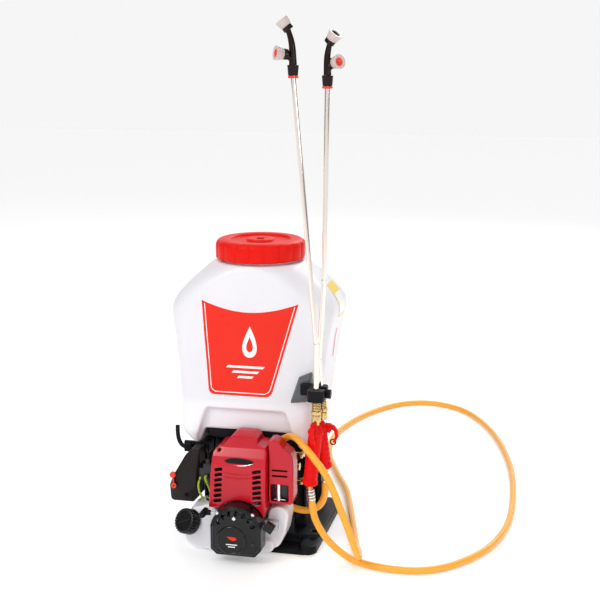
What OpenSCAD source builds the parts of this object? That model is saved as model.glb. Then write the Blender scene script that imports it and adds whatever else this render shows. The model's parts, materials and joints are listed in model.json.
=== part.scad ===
// Engine-driven knapsack sprayer with two spray guns and a long hose.
// Origin: floor level under the axis of the tank's cap. +X wearer's left side, -Y engine side, +Z up.

/* [Tank] */
// Height of the cap's top above the floor
cap_top_z = 600; // [594:1:606]
// Wall thickness of the tank
tank_wall = 3; // [2.5:0.1:3.5]
// Outer radius of the cap over its grip lobes
cap_r = 90; // [88:0.5:91]
// Height of the cap
cap_h = 38; // [36:1:40]
// Outer radius of the filler neck
neck_r = 76; // [75:0.5:77]

/* [Engine] */
// Height of the crankshaft above the floor
crank_z = 67; // [66:0.5:68]
// Crankshaft's distance to the right of the tank's axis
crank_x = 4; // [3:0.5:5]
// Radius of the starter housing's dome
starter_r = 50; // [49:0.5:51]
// Thickness of the red covers
cover_wall = 2.5; // [2:0.1:3]
// Radius of the fuel cap
fuel_cap_r = 25; // [24:0.5:26]

/* [Hoses and guns] */
// Outside diameter of the spray hose
hose_d = 13.5; // [12.5:0.1:13.5]
// Outside diameter of a lance tube
lance_d = 9.5; // [9:0.1:10]
// Radius of a gun's grip
grip_r = 13.5; // [13:0.1:14]
// Running clearance of pins and shafts, on the radius
fit_gap = 0.05; // [0.02:0.01:0.1]

/* [Hidden] */
$fn = 48;
far = 2000;

// Tank sections from the feet up: height, half-width, front, back, corner radius.
tank_sections = [
    [200, 114, -110, 36, 20],
    [214, 130, -115, 41, 26],
    [231, 138, -121, 46, 28],
    [285, 141, -115, 56, 30],
    [345, 147, -108, 68, 30],
    [407, 154, -104, 82, 30],
    [445, 161, -101, 92, 30],
    [466, 165, -99, 97, 32],
    [482, 162, -98, 100, 34],
    [505, 146, -97, 98, 44],
    [530, 122, -96, 96, 60],
    [550, 101, -94, 94, 80],
    [558, 90, -90, 90, 89],
];
tank_top_z = 558;
arch_z = 231;
neck_top_z = 586;
mouth_r = neck_r - tank_wall - 1.5;
cap_bottom_z = cap_top_z - cap_h;

// Frame.
tray_h = 5;
deck_z = 22;
shelf_z = [212, 230.7];
back_y = 101;
post_x = [82, 107];
post_y = [-60, -30];

// Engine and pump.
cover_front_y = -190;
starter_y = [-225, -180.5];
pulley_r = 36;
rope_r = 1.75;
rope_offset = 30;
shaft_r = 6;
throttle_at = [-126, 188];
choke_at = [-140, 124];
cock_z = [192, 138];
neck_axis = [-0.42, -0.80, 0.43];
fuel_neck_at = [-96, -160, 52];
oil_at = [67.6, -186, 75];
oil_turn = 30;

// Hose routes.
hose_1_route = [
    [72, -116, 223], [91, -134, 237], [110, -161, 243], [130, -184, 237],
    [151, -195, 219], [182, -206, 182], [214, -221, 118], [226, -225, 90],
    [233, -226, 71], [238, -220, 52], [240, -207, 36], [239, -190, 27],
    [235, -170, 23.5], [229, -142, 18], [219, -106, 10.5], [205, -50, 7.5],
    [169, 94, 7], [140, 200, 7], [98, 305, 7], [54, 430, 7],
    [38, 560, 7], [60, 690, 7], [101, 795, 7], [162, 878, 7],
    [240, 905, 7], [323, 865, 7], [385, 775, 7], [438, 640, 7],
    [480, 460, 7], [500, 280, 7], [502, 100, 7], [478, -30, 7],
    [433, -119, 7], [376, -174, 7], [310, -190, 7.5], [242, -176, 8],
    [206, -166, 17], [172, -166, 46], [149, -166, 84], [142, -166, 121],
];
hose_2_route = [
    [74, -101, 84], [84, -101, 80], [94, -102.5, 77.4], [104, -105, 76.5],
    [114, -109, 77.4], [124, -113, 80], [133, -118, 84.3], [141, -122.5, 90],
    [148, -127, 97], [154, -130.5, 105.5], [158, -133, 115], [161, -135, 124.5],
    [162, -136.5, 134], [162, -137, 142], [162, -137, 150],
];

// Guns: bottom and top of the grip, then the lance's bends from the bottom up.
gun_1_foot = [138, -166, 153];
gun_1_head = [149.5, -166, 265];
lance_1_line = [[150, -166, 294], [150, -166, 431], [106, -166, 924]];
gun_2_foot = [161, -137, 178];
gun_2_head = [150, -137, 266];
lance_2_line = [[157, -137, 292], [149, -137, 394], [158, -137, 547], [163, -137, 905]];
lever_1_pivot = [149, -183, 276];
lever_2_pivot = [168, -137, 264];
lever_2_tilt = -7;
clip_z = [321, 343];
clip_knob_at = [166.4, -151.5, 332];
bend_bead = 0.4;

// Nozzle caps: seat and the two turns that aim each one, about Y and then about Z.
nozzle_r = 10;
cap_1_top = [[96, -166, 1008], [-38, 10]];
cap_1_side = [[92, -172, 962], [-82, 35]];
cap_2_top = [[168, -137, 985], [40, -20]];
cap_2_side = [[175, -143, 946], [80, -40]];

// Surface finish colours.
red = [0.80, 0.05, 0.07];
gun_red = [0.88, 0.07, 0.08];
black = [0.07, 0.07, 0.08];
grey = [0.35, 0.36, 0.38];
white = [0.93, 0.93, 0.95, 0.9];
steel = [0.75, 0.76, 0.78];
brass = [0.80, 0.66, 0.38];
amber = [0.95, 0.55, 0.08];

// Closed tube of the given radius along a list of points.
function unit(v) = v / norm(v);
function tangent(p, i) = unit(p[min(i + 1, len(p) - 1)] - p[max(i - 1, 0)]);
function square_to(d) = unit(cross(d, abs(d[2]) > 0.9 ? [1, 0, 0] : [0, 0, 1]));
function spline(p, i, t) =
    let (a = p[max(i - 1, 0)], b = p[i], c = p[i + 1], d = p[min(i + 2, len(p) - 1)])
    0.5 * (2 * b + (c - a) * t + (2 * a - 5 * b + 4 * c - d) * t * t + (3 * b - a - 3 * c + d) * t * t * t);
function smooth(p, steps) = concat(
    [for (i = [0 : len(p) - 2], k = [0 : steps - 1]) spline(p, i, k / steps)],
    [p[len(p) - 1]]
);

module tube_along(p, r, sides = 10, r_end = -1) {
    rings = [for (i = [0 : len(p) - 1])
        let (d = tangent(p, i), u = square_to(d), v = cross(d, u))
        let (size = r_end < 0 ? r : r + (r_end - r) * i / (len(p) - 1))
        for (k = [0 : sides - 1])
            p[i] + size * (u * cos(360 * k / sides) + v * sin(360 * k / sides))];
    last = (len(p) - 1) * sides;
    polyhedron(rings, concat(
        [[for (k = [0 : sides - 1]) k]],
        [[for (k = [sides - 1 : -1 : 0]) last + k]],
        [for (i = [0 : len(p) - 2], k = [0 : sides - 1])
            let (a = i * sides + k, b = i * sides + (k + 1) % sides)
            each [[a, a + sides, b], [b, a + sides, b + sides]]]
    ));
}

// Straight round bar between two points.
module rod(a, b, r, r_end = -1) {
    d = b - a;
    turn = atan2(d[1], d[0]);
    tilt = acos(d[2] / norm(d));
    translate(a) rotate([0, tilt, turn])
        cylinder(h = norm(d), r1 = r, r2 = r_end < 0 ? r : r_end);
}

// Round bars joined at rounded corners.
module bent_rod(line, r) {
    for (i = [0 : len(line) - 2])
        rod(line[i], line[i + 1], r);
    for (i = [1 : len(line) - 2])
        translate(line[i]) sphere(r + bend_bead);
}

// Box between two corners.
module block(a, b) {
    translate(a) cube(b - a);
}

// Upright plate with rounded corners, from corner to corner in plan.
module rounded_plate(x, y, z, r) {
    block([x[0] + r, y[0], z[0]], [x[1] - r, y[1], z[1]]);
    block([x[0], y[0] + r, z[0]], [x[1], y[1] - r, z[1]]);
    for (cx = [x[0] + r, x[1] - r], cy = [y[0] + r, y[1] - r])
        translate([cx, cy, z[0]]) cylinder(h = z[1] - z[0], r = r);
}

// Profile drawn in X and Z, given its depth along Y.
module in_depth(y) {
    translate([0, y[1], 0]) rotate([90, 0, 0]) linear_extrude(y[1] - y[0]) children();
}

// Turns a shape made along +Z to point along the given direction.
module aim(at, direction) {
    turn = atan2(direction[1], direction[0]);
    tilt = acos(direction[2] / norm(direction));
    translate(at) rotate([0, tilt, turn]) children();
}

// Ring of rounded-rectangle points for one level of the tank.
function level(s, t) = let (a = s[1] - t, y0 = s[2] + t, y1 = s[3] - t, r = s[4] - t)
    [for (q = [0 : 3], k = [0 : 8])
        [(q == 0 || q == 3 ? a - r : r - a) + r * cos(90 * q + 11.25 * k),
         (q < 2 ? y1 - r : y0 + r) + r * sin(90 * q + 11.25 * k), s[0]]];

// Tank form, moved inwards by t.
module tank_form(t, z_low, z_high) {
    n = 36;
    last = (len(tank_sections) - 1) * n;
    intersection() {
        polyhedron(
            [for (s = tank_sections) each level(s, t)],
            concat(
                [[for (k = [0 : n - 1]) k]],
                [[for (k = [n - 1 : -1 : 0]) last + k]],
                [for (i = [0 : len(tank_sections) - 2], k = [0 : n - 1])
                    let (a = i * n + k, b = i * n + (k + 1) % n)
                    each [[a, a + n, b], [b, a + n, b + n]]]
            )
        );
        block([-200, -200, z_low], [200, 200, z_high]);
    }
}

// Arch over the engine bay and recess in the lower front, moved outwards by t.
module tank_arch(t) {
    in_depth([-150, 150])
        polygon([[-106 - t, 190], [106 + t, 190], [90 + t, arch_z + t], [-90 - t, arch_z + t]]);
    in_depth([-150, -101 + t])
        polygon([[-108 - t, 200], [108 + t, 200], [76 + t, 277 + t], [-83 - t, 277 + t]]);
}

module tank() {
    color(white) difference() {
        union() {
            difference() {
                tank_form(0, 200, tank_top_z);
                tank_arch(0);
            }
            translate([0, 0, tank_top_z - 2])
                cylinder(h = neck_top_z - tank_top_z + 2, r = neck_r, $fn = 96);
            for (z = [566, 576])
                translate([0, 0, z]) cylinder(h = 3, r = neck_r + 2.5, $fn = 96);
        }
        difference() {
            tank_form(tank_wall, 200 + tank_wall, tank_top_z - tank_wall);
            tank_arch(tank_wall);
        }
        translate([0, 0, tank_top_z - 10]) cylinder(h = 60, r = mouth_r, $fn = 96);
    }
}

module tank_cap() {
    lobes = 24;
    color(red) difference() {
        union() {
            translate([0, 0, cap_bottom_z]) cylinder(h = cap_h - 4, r = cap_r - 3, $fn = 96);
            translate([0, 0, cap_top_z - 4]) cylinder(h = 4, r1 = cap_r - 3, r2 = cap_r - 7, $fn = 96);
            for (i = [0 : lobes - 1])
                rotate(i * 360 / lobes) translate([cap_r - 7, 0, cap_bottom_z])
                    cylinder(h = cap_h - 6, r = 7);
        }
        translate([0, 0, cap_bottom_z - 1]) cylinder(h = 30, r = neck_r + 4, $fn = 96);
        translate([0, 0, cap_top_z - 5]) difference() {
            cylinder(h = 10, r = 60, $fn = 96);
            translate([0, 0, -1]) cylinder(h = 12, r = 27, $fn = 96);
        }
        translate([0, 0, cap_bottom_z]) cylinder(h = 60, r = 6 + fit_gap);
    }
}

module cap_gasket() {
    color(black) translate([0, 0, neck_top_z]) difference() {
        cylinder(h = 3.5, r = neck_r + 2, $fn = 96);
        translate([0, 0, -1]) cylinder(h = 6, r = mouth_r, $fn = 96);
    }
}

module cap_vent_plug() {
    color(black) difference() {
        union() {
            translate([0, 0, cap_bottom_z + 29.5]) cylinder(h = cap_h - 29.5, r = 6);
            translate([0, 0, cap_bottom_z + 26]) cylinder(h = 2.7, r = 9);
            translate([0, 0, cap_bottom_z + 26]) cylinder(h = 6, r = 5);
            translate([0, 0, cap_top_z + 0.4]) cylinder(h = 1.4, r = 8);
            translate([0, 0, cap_top_z - 2]) cylinder(h = 3, r = 5.5);
        }
        translate([0, 0, cap_bottom_z + 20]) cylinder(h = 40, r = 1.5);
    }
}

module strainer_basket() {
    basket_r = mouth_r - 2;
    depth = 70;
    color(black) translate([0, 0, neck_top_z - depth]) difference() {
        cylinder(h = depth - 0.4, r = basket_r, $fn = 96);
        translate([0, 0, 2]) cylinder(h = depth, r = basket_r - 2, $fn = 96);
        for (i = [0 : 11], z = [10, 32])
            rotate(i * 30) translate([basket_r - 6, -6, z]) cube([12, 12, 16]);
        for (i = [0 : 5])
            rotate(i * 60) translate([35, 0, -1]) cylinder(h = 5, r = 9);
    }
    color(black) translate([0, 0, neck_top_z - 4]) difference() {
        cylinder(h = 3.6, r = mouth_r - 0.3, $fn = 96);
        translate([0, 0, -1]) cylinder(h = 6, r = basket_r - 2, $fn = 96);
    }
}

// Moulded base: thin sole, raised deck under the pump, rim along the right side.
module base_tray() {
    corner = 22;
    color(black) difference() {
        union() {
            rounded_plate([-110, 145], [-100, 114], [0, tray_h], corner);
            rounded_plate([30, 145], [-150, 60], [0, tray_h], corner);
            rounded_plate([-110, 145], [-98, 114], [0, deck_z], corner);
            rounded_plate([110, 145], [-146, 60], [0, deck_z - 6], 16);
        }
        for (y = [-110, -82])
            block([122, y, deck_z - 8], [134, y + 14, deck_z + 1]);
        for (x = [-70, -20, 30])
            block([x, 40, 12], [x + 34, 90, deck_z + 1]);
    }
}

// Moulded back plate behind the tank, with windows.
module back_frame() {
    color(black) difference() {
        union() {
            in_depth([back_y, back_y + 9]) polygon([
                [-112, deck_z], [112, deck_z], [112, 150], [100, 210], [100, 430], [80, 500],
                [-80, 500], [-100, 430], [-100, 210], [-112, 150]
            ]);
            for (x = [-100, 90])
                block([x, back_y - 14, deck_z], [x + 10, back_y + 1, 190]);
            for (x = [-112, 104])
                block([x, 36, 112], [x + 8, back_y + 1, 197]);
        }
        block([-60, back_y - 20, 60], [60, back_y + 20, 122]);
        block([-26, back_y - 20, 445], [26, back_y + 20, 478]);
    }
}

module side_posts() {
    color(black) for (side = [-1, 1])
        mirror([side < 0 ? 1 : 0, 0, 0]) difference() {
            block([post_x[0], post_y[0], deck_z], [post_x[1], post_y[1], 198]);
            block([post_x[0] + 6, post_y[0] - 1, 40], [post_x[1] - 6, post_y[0] + 4, 180]);
        }
}

module tank_shelf() {
    color(black) difference() {
        union() {
            rounded_plate([-89, 89], [-98, back_y], shelf_z, 12);
            for (x = [-92, 78])
                block([x, -66, 198.2], [x + 14, 60, shelf_z[0] + 1]);
        }
        for (x = [-46, 6])
            block([x, -60, shelf_z[0] - 1], [x + 40, 40, shelf_z[1] + 1]);
    }
}

module back_pad() {
    color(black) hull()
        for (x = [-72, 72], z = [180, 420])
            translate([x, back_y + 9.4, z]) rotate([-90, 0, 0])
                cylinder(h = 26, r1 = 22, r2 = 14, $fn = 32);
}

// Padded strap from the top of the back plate to the lower corner.
module shoulder_strap(side) {
    color(black) mirror([side < 0 ? 1 : 0, 0, 0])
        translate([36, 0, 0]) rotate([90, 0, 90]) linear_extrude(44) polygon([
            [110.4, 478], [132, 488], [176, 470], [208, 420], [216, 350], [206, 270], [176, 190],
            [134, 120], [110.4, 96], [110.4, 86], [140, 108], [186, 184], [216, 268], [226, 350],
            [217, 424], [182, 479], [134, 499], [110.4, 490]
        ]);
}

module strap_left() {
    shoulder_strap(1);
}

module strap_right() {
    shoulder_strap(-1);
}

module rubber_mounts() {
    color(black) for (x = [-38, 40], y = [-52, 14])
        translate([x, y, deck_z]) cylinder(h = 13.8, r = 11);
}

module bolts() {
    color(steel) {
        for (a = [31, 141, 218, 322])
            translate([crank_x, starter_y[0] + (a < 180 ? -0.05 : 2.95), crank_z]) rotate([90, a, 0])
                translate([41, 0, 0]) cylinder(h = 2.5, r = 3);
        for (x = [-80, 80], z = [200, 400])
            translate([x, back_y, z]) rotate([90, 0, 0]) cylinder(h = 0.9, r = 6);
    }
}

module fuel_lobe(p, y, depth, r) {
    translate([p[0], y, p[1]]) rotate([-90, 0, 0]) cylinder(h = depth, r = r, $fn = 32);
}

// Saddle-shaped fuel tank below the crankcase.
module fuel_form(t) {
    hull()
        for (p = [[-92, 30], [-62, 26], [-88, 70], [-62, 79]])
            fuel_lobe(p, -175 + t, 65 - 2 * t, 20 - t);
    hull()
        for (p = [[-62, 26], [-62, 22], [40, 18], [56, 22]])
            fuel_lobe(p, -175 + t, 65 - 2 * t, 12 - t);
    hull()
        for (p = [[62, 32], [70, 50], [76, 82], [72, 82]])
            fuel_lobe(p, -160 + t, 50 - 2 * t, 18 - t);
}

module fuel_tank() {
    color(white) difference() {
        union() {
            difference() {
                fuel_form(0);
                aim(fuel_neck_at, neck_axis) translate([0, 0, 8]) cylinder(h = 60, r = fuel_cap_r + 2.5);
            }
            aim(fuel_neck_at, neck_axis) cylinder(h = 22, r = 17);
        }
        difference() {
            fuel_form(2.5);
            aim(fuel_neck_at, neck_axis) translate([0, 0, 5.5]) cylinder(h = 60, r = fuel_cap_r + 5);
        }
        aim(fuel_neck_at, neck_axis) cylinder(h = 40, r = 14);
        translate([crank_x, -180, crank_z]) rotate([-90, 0, 0]) cylinder(h = 80, r = 47);
        translate([-66.5, -145, 96.6]) cylinder(h = 40, r = 5.5);
    }
}

module fuel_cap() {
    color(black) aim(fuel_neck_at, neck_axis) difference() {
        translate([0, 0, 10]) cylinder(h = 24, r = fuel_cap_r);
        for (i = [0 : 15])
            rotate(i * 22.5 + 5) translate([fuel_cap_r + 1, 0, 8]) cylinder(h = 22, r = 2.6);
        translate([0, 0, 9]) cylinder(h = 16, r = 17.4);
        for (side = [0, 180])
            rotate(side) translate([5, -12, 31]) cube([9, 24, 6]);
    }
}

module fuel_lines() {
    color([0.62, 0.78, 0.15]) tube_along(smooth([
        [-66.5, -145, 97.2], [-66.5, -145, 108], [-66.5, -152, 122], [-68, -161, 136],
        [-71, -164, 146], [-72, -161, 150], [-72, -156.4, 150]
    ], 3), 2.5, 8);
    color([0.8, 0.8, 0.78]) tube_along(smooth([
        [-84, -154, 146], [-85, -157, 143], [-87, -160, 132], [-85, -160, 118],
        [-81, -156, 106], [-80, -152, 96]
    ], 3), 2.2, 8);
    color(black) translate([-66.5, -145, 99.1]) difference() {
        cylinder(h = 6, r = 8);
        translate([0, 0, -1]) cylinder(h = 8, r = 2.9);
    }
}

module crankcase() {
    color(steel) difference() {
        union() {
            translate([crank_x, -180, crank_z]) rotate([-90, 0, 0]) cylinder(h = 92, r = 44);
            block([crank_x - 34, -172, crank_z + 20], [crank_x + 34, -92, 118]);
            block([40, -180, 58], [78, -168, 78.7]);
            translate([crank_x, -88, crank_z]) rotate([-90, 0, 0]) cylinder(h = 12.6, r = 36);
        }
        translate([crank_x, -200, crank_z]) rotate([-90, 0, 0]) cylinder(h = 200, r = shaft_r + fit_gap);
    }
}

module cylinder_block() {
    fins = 9;
    color(grey) {
        block([crank_x - 26, -166, 118.2], [crank_x + 26, -114, 204]);
        for (i = [0 : fins - 1])
            block([crank_x - 40, -176, 124 + 8 * i], [crank_x + 40, -106, 127 + 8 * i]);
        block([crank_x - 36, -172, 196], [crank_x + 34, -110, 206]);
        rod([crank_x, -140, 205], [crank_x, -140, 216], 6);
        block([-58, -148, 136], [-20, -124, 158]);
    }
}

// Outline of the main engine cover seen from the engine side.
module cover_outline(t) {
    polygon([
        [-58 + t, 100], [-50 + t, 210], [-45 + t, 217 - t], [-32 + t, 221 - t], [-22 + t, 234 - t],
        [-14 + t, 240 - t], [22 - t, 240 - t], [30 - t, 234 - t], [34 - t, 224 - t],
        [52 - t, 222 - t], [56 - t, 214 - t], [55.5 - t, 100], [50 - t, 79], [40 - t, 79], [30 - t, 96]
    ]);
}

// Engine cover body between its front face and its sloping roof, moved inwards by t.
module cover_form(t) {
    intersection() {
        in_depth([cover_front_y + t, -108]) cover_outline(t);
        rotate([90, 0, 90]) translate([0, 0, -100]) linear_extrude(200) polygon([
            [cover_front_y + t, 60], [cover_front_y + t, 186 - t], [cover_front_y + 5 + t, 203 - t],
            [cover_front_y + 16 + t, 220 - t], [-148, 235 - t], [-120, 241 - t], [-107, 241 - t], [-107, 60]
        ]);
    }
}

module top_cover() {
    slots = 7;
    color(red) difference() {
        cover_form(0);
        difference() {
            cover_form(cover_wall);
            block([-70, -200, 60], [70, cover_front_y + cover_wall, 300]);
        }
        translate([crank_x, -200, crank_z]) rotate([-90, 0, 0]) cylinder(h = 100, r = starter_r + 1);
        for (i = [0 : slots - 1]) {
            translate([-43 - 0.5 * (slots - i), -200, 110 + 10.6 * i])
                rotate([0, -14, 0]) cube([15, 20, 5.6]);
            translate([31, -200, 110 + 10.6 * i]) rotate([0, -14, 0]) cube([17, 20, 5.6]);
        }
        in_depth([-200, cover_front_y + 1.2]) polygon([
            [-27, 196], [-14, 190], [2, 188], [20, 190], [34, 197], [22, 202], [2, 204], [-16, 202]
        ]);
        translate([-38, -200, 214]) rotate([-90, 0, 0]) cylinder(h = 40, r = 3);
        block([-70, -160, 110], [-40, -100, 176]);
        block([50, -147, 175], [60, -131, 191]);
    }
}

module muffler() {
    color(steel) {
        block([62, -160, 114], [98, -134, 200]);
        block([44, -146, 176], [63, -132, 190]);
        translate([74, -159, 132]) rotate([90, 0, 0]) cylinder(h = 6.5, r = 6);
    }
}

module muffler_outline(t) {
    polygon([
        [57.5 + t, 110 + t], [57.5 + t, 237 - t], [66, 239 - t], [76 - t / 2, 236 - t], [84 - t / 2, 226 - t],
        [92 - t / 2, 220 - t], [100 - t, 214 - t], [105 - t, 204 - t / 2], [106.5 - t, 190],
        [106.5 - t, 122], [104 - t, 112 + t], [100 - t, 110 + t]
    ]);
}

module muffler_cover() {
    color(red) difference() {
        in_depth([-170, -134]) muffler_outline(0);
        in_depth([-170 + cover_wall, -100]) muffler_outline(cover_wall);
        block([55, -147, 175], [61, -130, 191]);
        block([61, -171, 115], [96, -160, 149]);
        for (z = [165, 176])
            block([63, -171, z], [95, -160, z + 3]);
    }
}

// Dome with a flat foot and cut corners.
module starter_outline(t) {
    translate([crank_x, crank_z]) circle(starter_r - t, $fn = 96);
    polygon([
        [crank_x - starter_r + t, crank_z], [crank_x - starter_r + t, 28 + t / 2], [crank_x - 38 + t, 17 + t],
        [crank_x + 38 - t, 17 + t], [crank_x + starter_r - t, 30 + t / 2], [crank_x + starter_r - t, crank_z]
    ]);
}

module recoil_housing() {
    wall = 3;
    color(black) difference() {
        union() {
            in_depth([starter_y[0] + 5.5, starter_y[1]]) starter_outline(0);
            in_depth([starter_y[0] + 3, starter_y[1]]) starter_outline(5);
            in_depth([starter_y[0], starter_y[1]]) starter_outline(12);
        }
        in_depth([starter_y[0] + 8, starter_y[1] + 1]) starter_outline(wall);
        for (a = [20 : 22 : 160])
            translate([crank_x, starter_y[0] - 1, crank_z]) rotate([0, -a, 0])
                translate([33, 0, -2.4]) cube([9, 12, 4.8]);
        rod([-70, -209, crank_z + rope_offset], [0, -209, crank_z + rope_offset], rope_r + 1.2);
        translate([-2, starter_y[0] - 1, 50]) rotate([-90, 0, 0]) cylinder(h = 1.8, r = 30, $fn = 96);
    }
    color(black) translate([crank_x, starter_y[0] + 6, crank_z]) rotate([-90, 0, 0]) cylinder(h = 18, r = 5);
}

module starter_pulley() {
    color(grey) translate([crank_x, -215, crank_z]) rotate([-90, 0, 0]) difference() {
        union() {
            cylinder(h = 12, r = 27.5, $fn = 96);
            cylinder(h = 2.6, r = pulley_r, $fn = 96);
            translate([0, 0, 9.4]) cylinder(h = 2.6, r = pulley_r, $fn = 96);
        }
        translate([0, 0, -1]) cylinder(h = 20, r = 5 + fit_gap);
        for (i = [0 : 4])
            rotate(i * 72) translate([16, 0, -1]) cylinder(h = 20, r = 5);
    }
}

module starter_grip() {
    grip_z = crank_z + rope_offset;
    color(black) difference() {
        union() {
            hull()
                for (y = [-223, -201])
                    translate([-60, y, grip_z]) sphere(6.5, $fn = 32);
            rod([-62, -209, grip_z], [-47.5, -209, grip_z], 6.5, 5);
        }
        rod([-80, -209, grip_z], [-40, -209, grip_z], rope_r);
    }
}

module starter_rope() {
    grip_z = crank_z + rope_offset;
    color([0.85, 0.85, 0.82]) rod([-64, -209, grip_z], [38, -209, grip_z], rope_r);
}

module flywheel() {
    color(steel) translate([crank_x, 0, crank_z]) rotate([-90, 0, 0]) {
        translate([0, 0, -196]) difference() {
            cylinder(h = 11, r = 42, $fn = 96);
            for (i = [0 : 11])
                rotate(i * 30) translate([28, -2, -1]) cube([12, 4, 6]);
        }
        translate([0, 0, -200]) cylinder(h = 138, r = shaft_r);
    }
}

module carburettor() {
    color(steel) {
        block([-86, -152, 138], [-58.2, -122, 164]);
        block([-80, -150, 164], [-64, -126, 172]);
        translate([-72, -138, 172]) cylinder(h = 8, r = 7);
        block([-80, -146, 128], [-62, -130, 138]);
        rod([-72, -152, 150], [-72, -156, 150], 5);
    }
}

// Outline of the air cleaner seen from the engine side.
module air_outline() {
    polygon([
        [-90, 198], [-106, 199], [-120, 184], [-135, 157], [-150, 128], [-153, 120], [-151, 92],
        [-146, 88], [-104, 88], [-90, 104]
    ]);
}

module air_cleaner_base() {
    color(black) {
        in_depth([-118, -108]) air_outline();
        block([-89.8, -150, 140], [-86.2, -108, 164]);
        block([-92, -118, 140], [-88, -108, 164]);
        rod([choke_at[0], -117, choke_at[1]], [choke_at[0], -152.1, choke_at[1]], 3);
        rod([choke_at[0], -152, choke_at[1]], [choke_at[0], -157, choke_at[1]], 1.5);
    }
}

module air_cleaner_cover() {
    color([0.13, 0.10, 0.09]) difference() {
        union() {
            in_depth([-140, -118.2]) air_outline();
            hull() {
                in_depth([-141, -139]) air_outline();
                translate([-120, -149, 135]) rotate([-90, 0, 0]) cylinder(h = 2, r = 24, $fn = 32);
            }
        }
        rod([choke_at[0], -100, choke_at[1]], [choke_at[0], -160, choke_at[1]], 3.4);
        block([-118, -160, 98], [-108, -140, 108]);
    }
}

module choke_lever() {
    front = -155.5;
    knob = choke_at + [-1.5, 23];
    color([0.85, 0.10, 0.08]) difference() {
        union() {
            rod([choke_at[0], front, choke_at[1]], [choke_at[0], front + 3, choke_at[1]], 5.5);
            rod([choke_at[0], front + 1.5, choke_at[1]], [knob[0], front + 1.5, knob[1]], 1.4);
            rod([knob[0], front - 2, knob[1]], [knob[0], front + 4.5, knob[1]], 6);
        }
        rod([choke_at[0], front - 5, choke_at[1]], [choke_at[0], front + 10, choke_at[1]], 1.5 + fit_gap);
    }
}

module throttle_bracket() {
    color(black) {
        block([-136, -96.5, 176], [-84, -88, 198]);
        block([-106, -88, 176], [-84, post_y[0], 198]);
        rod([throttle_at[0], -96, throttle_at[1]], [throttle_at[0], -107, throttle_at[1]], 4);
    }
}

module throttle_lever() {
    color(black) difference() {
        union() {
            rod([throttle_at[0], -106, throttle_at[1]], [throttle_at[0], -97, throttle_at[1]], 8);
            tube_along(smooth([
                [-130, -101.5, 188], [-138, -101.5, 191], [-144, -101.5, 200],
                [-147, -101.5, 214], [-147, -101.5, 232]
            ], 3), 4.4, 10);
        }
        rod([throttle_at[0], -90, throttle_at[1]], [throttle_at[0], -120, throttle_at[1]], 4 + fit_gap);
    }
}

module throttle_cable() {
    color(black) tube_along(smooth([
        [-88, -96.8, 186], [-86, -104, 187], [-82, -120, 192], [-76, -133, 193],
        [-72, -138, 188], [-72, -138, 180.2]
    ], 3), 2.5, 8);
}

module oil_neck() {
    color(steel) translate([oil_at[0], -180, oil_at[2]]) rotate([90, 0, 0]) difference() {
        union() {
            cylinder(h = 12, r = 9);
            translate([0, 0, 10]) cylinder(h = 8, r = 10.5);
        }
        translate([0, 0, 8]) cylinder(h = 12, r = 7.5 + fit_gap);
    }
}

module oil_plug() {
    color(black) translate([oil_at[0], oil_at[1] - 12.4, oil_at[2]]) rotate([90, oil_turn, 0]) {
        translate([-9, -9, 0]) cube([18, 18, 12]);
        translate([0, 0, -9]) cylinder(h = 9, r = 7.5);
    }
}

// Horizontal piston pump bolted to the clutch housing.
module pump_body() {
    color(grey) difference() {
        union() {
            block([-44, -74, 36], [52, 24, 150]);
            translate([crank_x, -75, crank_z]) rotate([-90, 0, 0]) cylinder(h = 20, r = 40);
            translate([4, -26, 150]) cylinder(h = 34, r = 24);
            block([46, -96, 84], [54, -40, 200]);
        }
        translate([crank_x, -80, crank_z]) rotate([-90, 0, 0]) cylinder(h = 60, r = 20);
    }
}

// Brass valve block with its pipe, elbow and hose tail, and the stem of its lever.
module outlet_valve(z, elbow, tail) {
    block([46, -107.6, z - 9], [70, -96.2, z + 9]);
    rod([elbow[0], elbow[1], z], elbow, 6);
    translate(elbow) sphere(7);
    rod(elbow, tail, 7.6);
    rod([69, -102, z], [107, -102, z], 3.5);
    rod([106, -102, z], [114, -102, z], 2 - fit_gap);
}

module outlet_cocks() {
    color(brass) {
        outlet_valve(cock_z[0], [63, -106, 216.5], hose_1_route[0]);
        outlet_valve(cock_z[1], [63, -101, 89], hose_2_route[0]);
        block([46, -107.6, 157], [66, -96.2, 173]);
        rod([65, -102, 165], [97, -102, 165], 5);
        rod([96, -102, 165], [104, -102, 165], 8);
    }
}

// Lever that points forwards when the cock is open and swings down to close it.
module cock_lever(z) {
    color(brass) difference() {
        union() {
            rod([107.5, -102, z], [113.5, -102, z], 6.5);
            block([108, -122, z - 3], [113, -102, z + 3]);
        }
        rod([90, -102, z], [130, -102, z], 2);
    }
}

module cock_lever_upper() {
    cock_lever(cock_z[0]);
}

module cock_lever_lower() {
    cock_lever(cock_z[1]);
}

module tank_hoses() {
    color([0.85, 0.85, 0.82]) {
        tube_along(smooth([
            [-26, 20, 229.8], [-26, 20, 224], [-26, 19, 218], [-20, 8, 207],
            [-4, -18, 203], [4, -25, 196], [4, -26, 190], [4, -26, 184.4]
        ], 3), 8, 12);
        tube_along(smooth([
            [26, 30, 230.2], [26, 32, 200], [28, 40, 160], [30, 42, 142],
            [30, 38, 131], [30, 30, 130], [30, 24.3, 130]
        ], 3), 5, 10);
    }
}

module holder_pad() {
    color(grey) hull() {
        in_depth([-112, -108]) polygon([[86, 296], [104, 350], [130, 362], [134, 320], [118, 300]]);
        in_depth([-124, -120]) polygon([[94, 306], [108, 344], [128, 352], [130, 322], [116, 308]]);
    }
}

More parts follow.
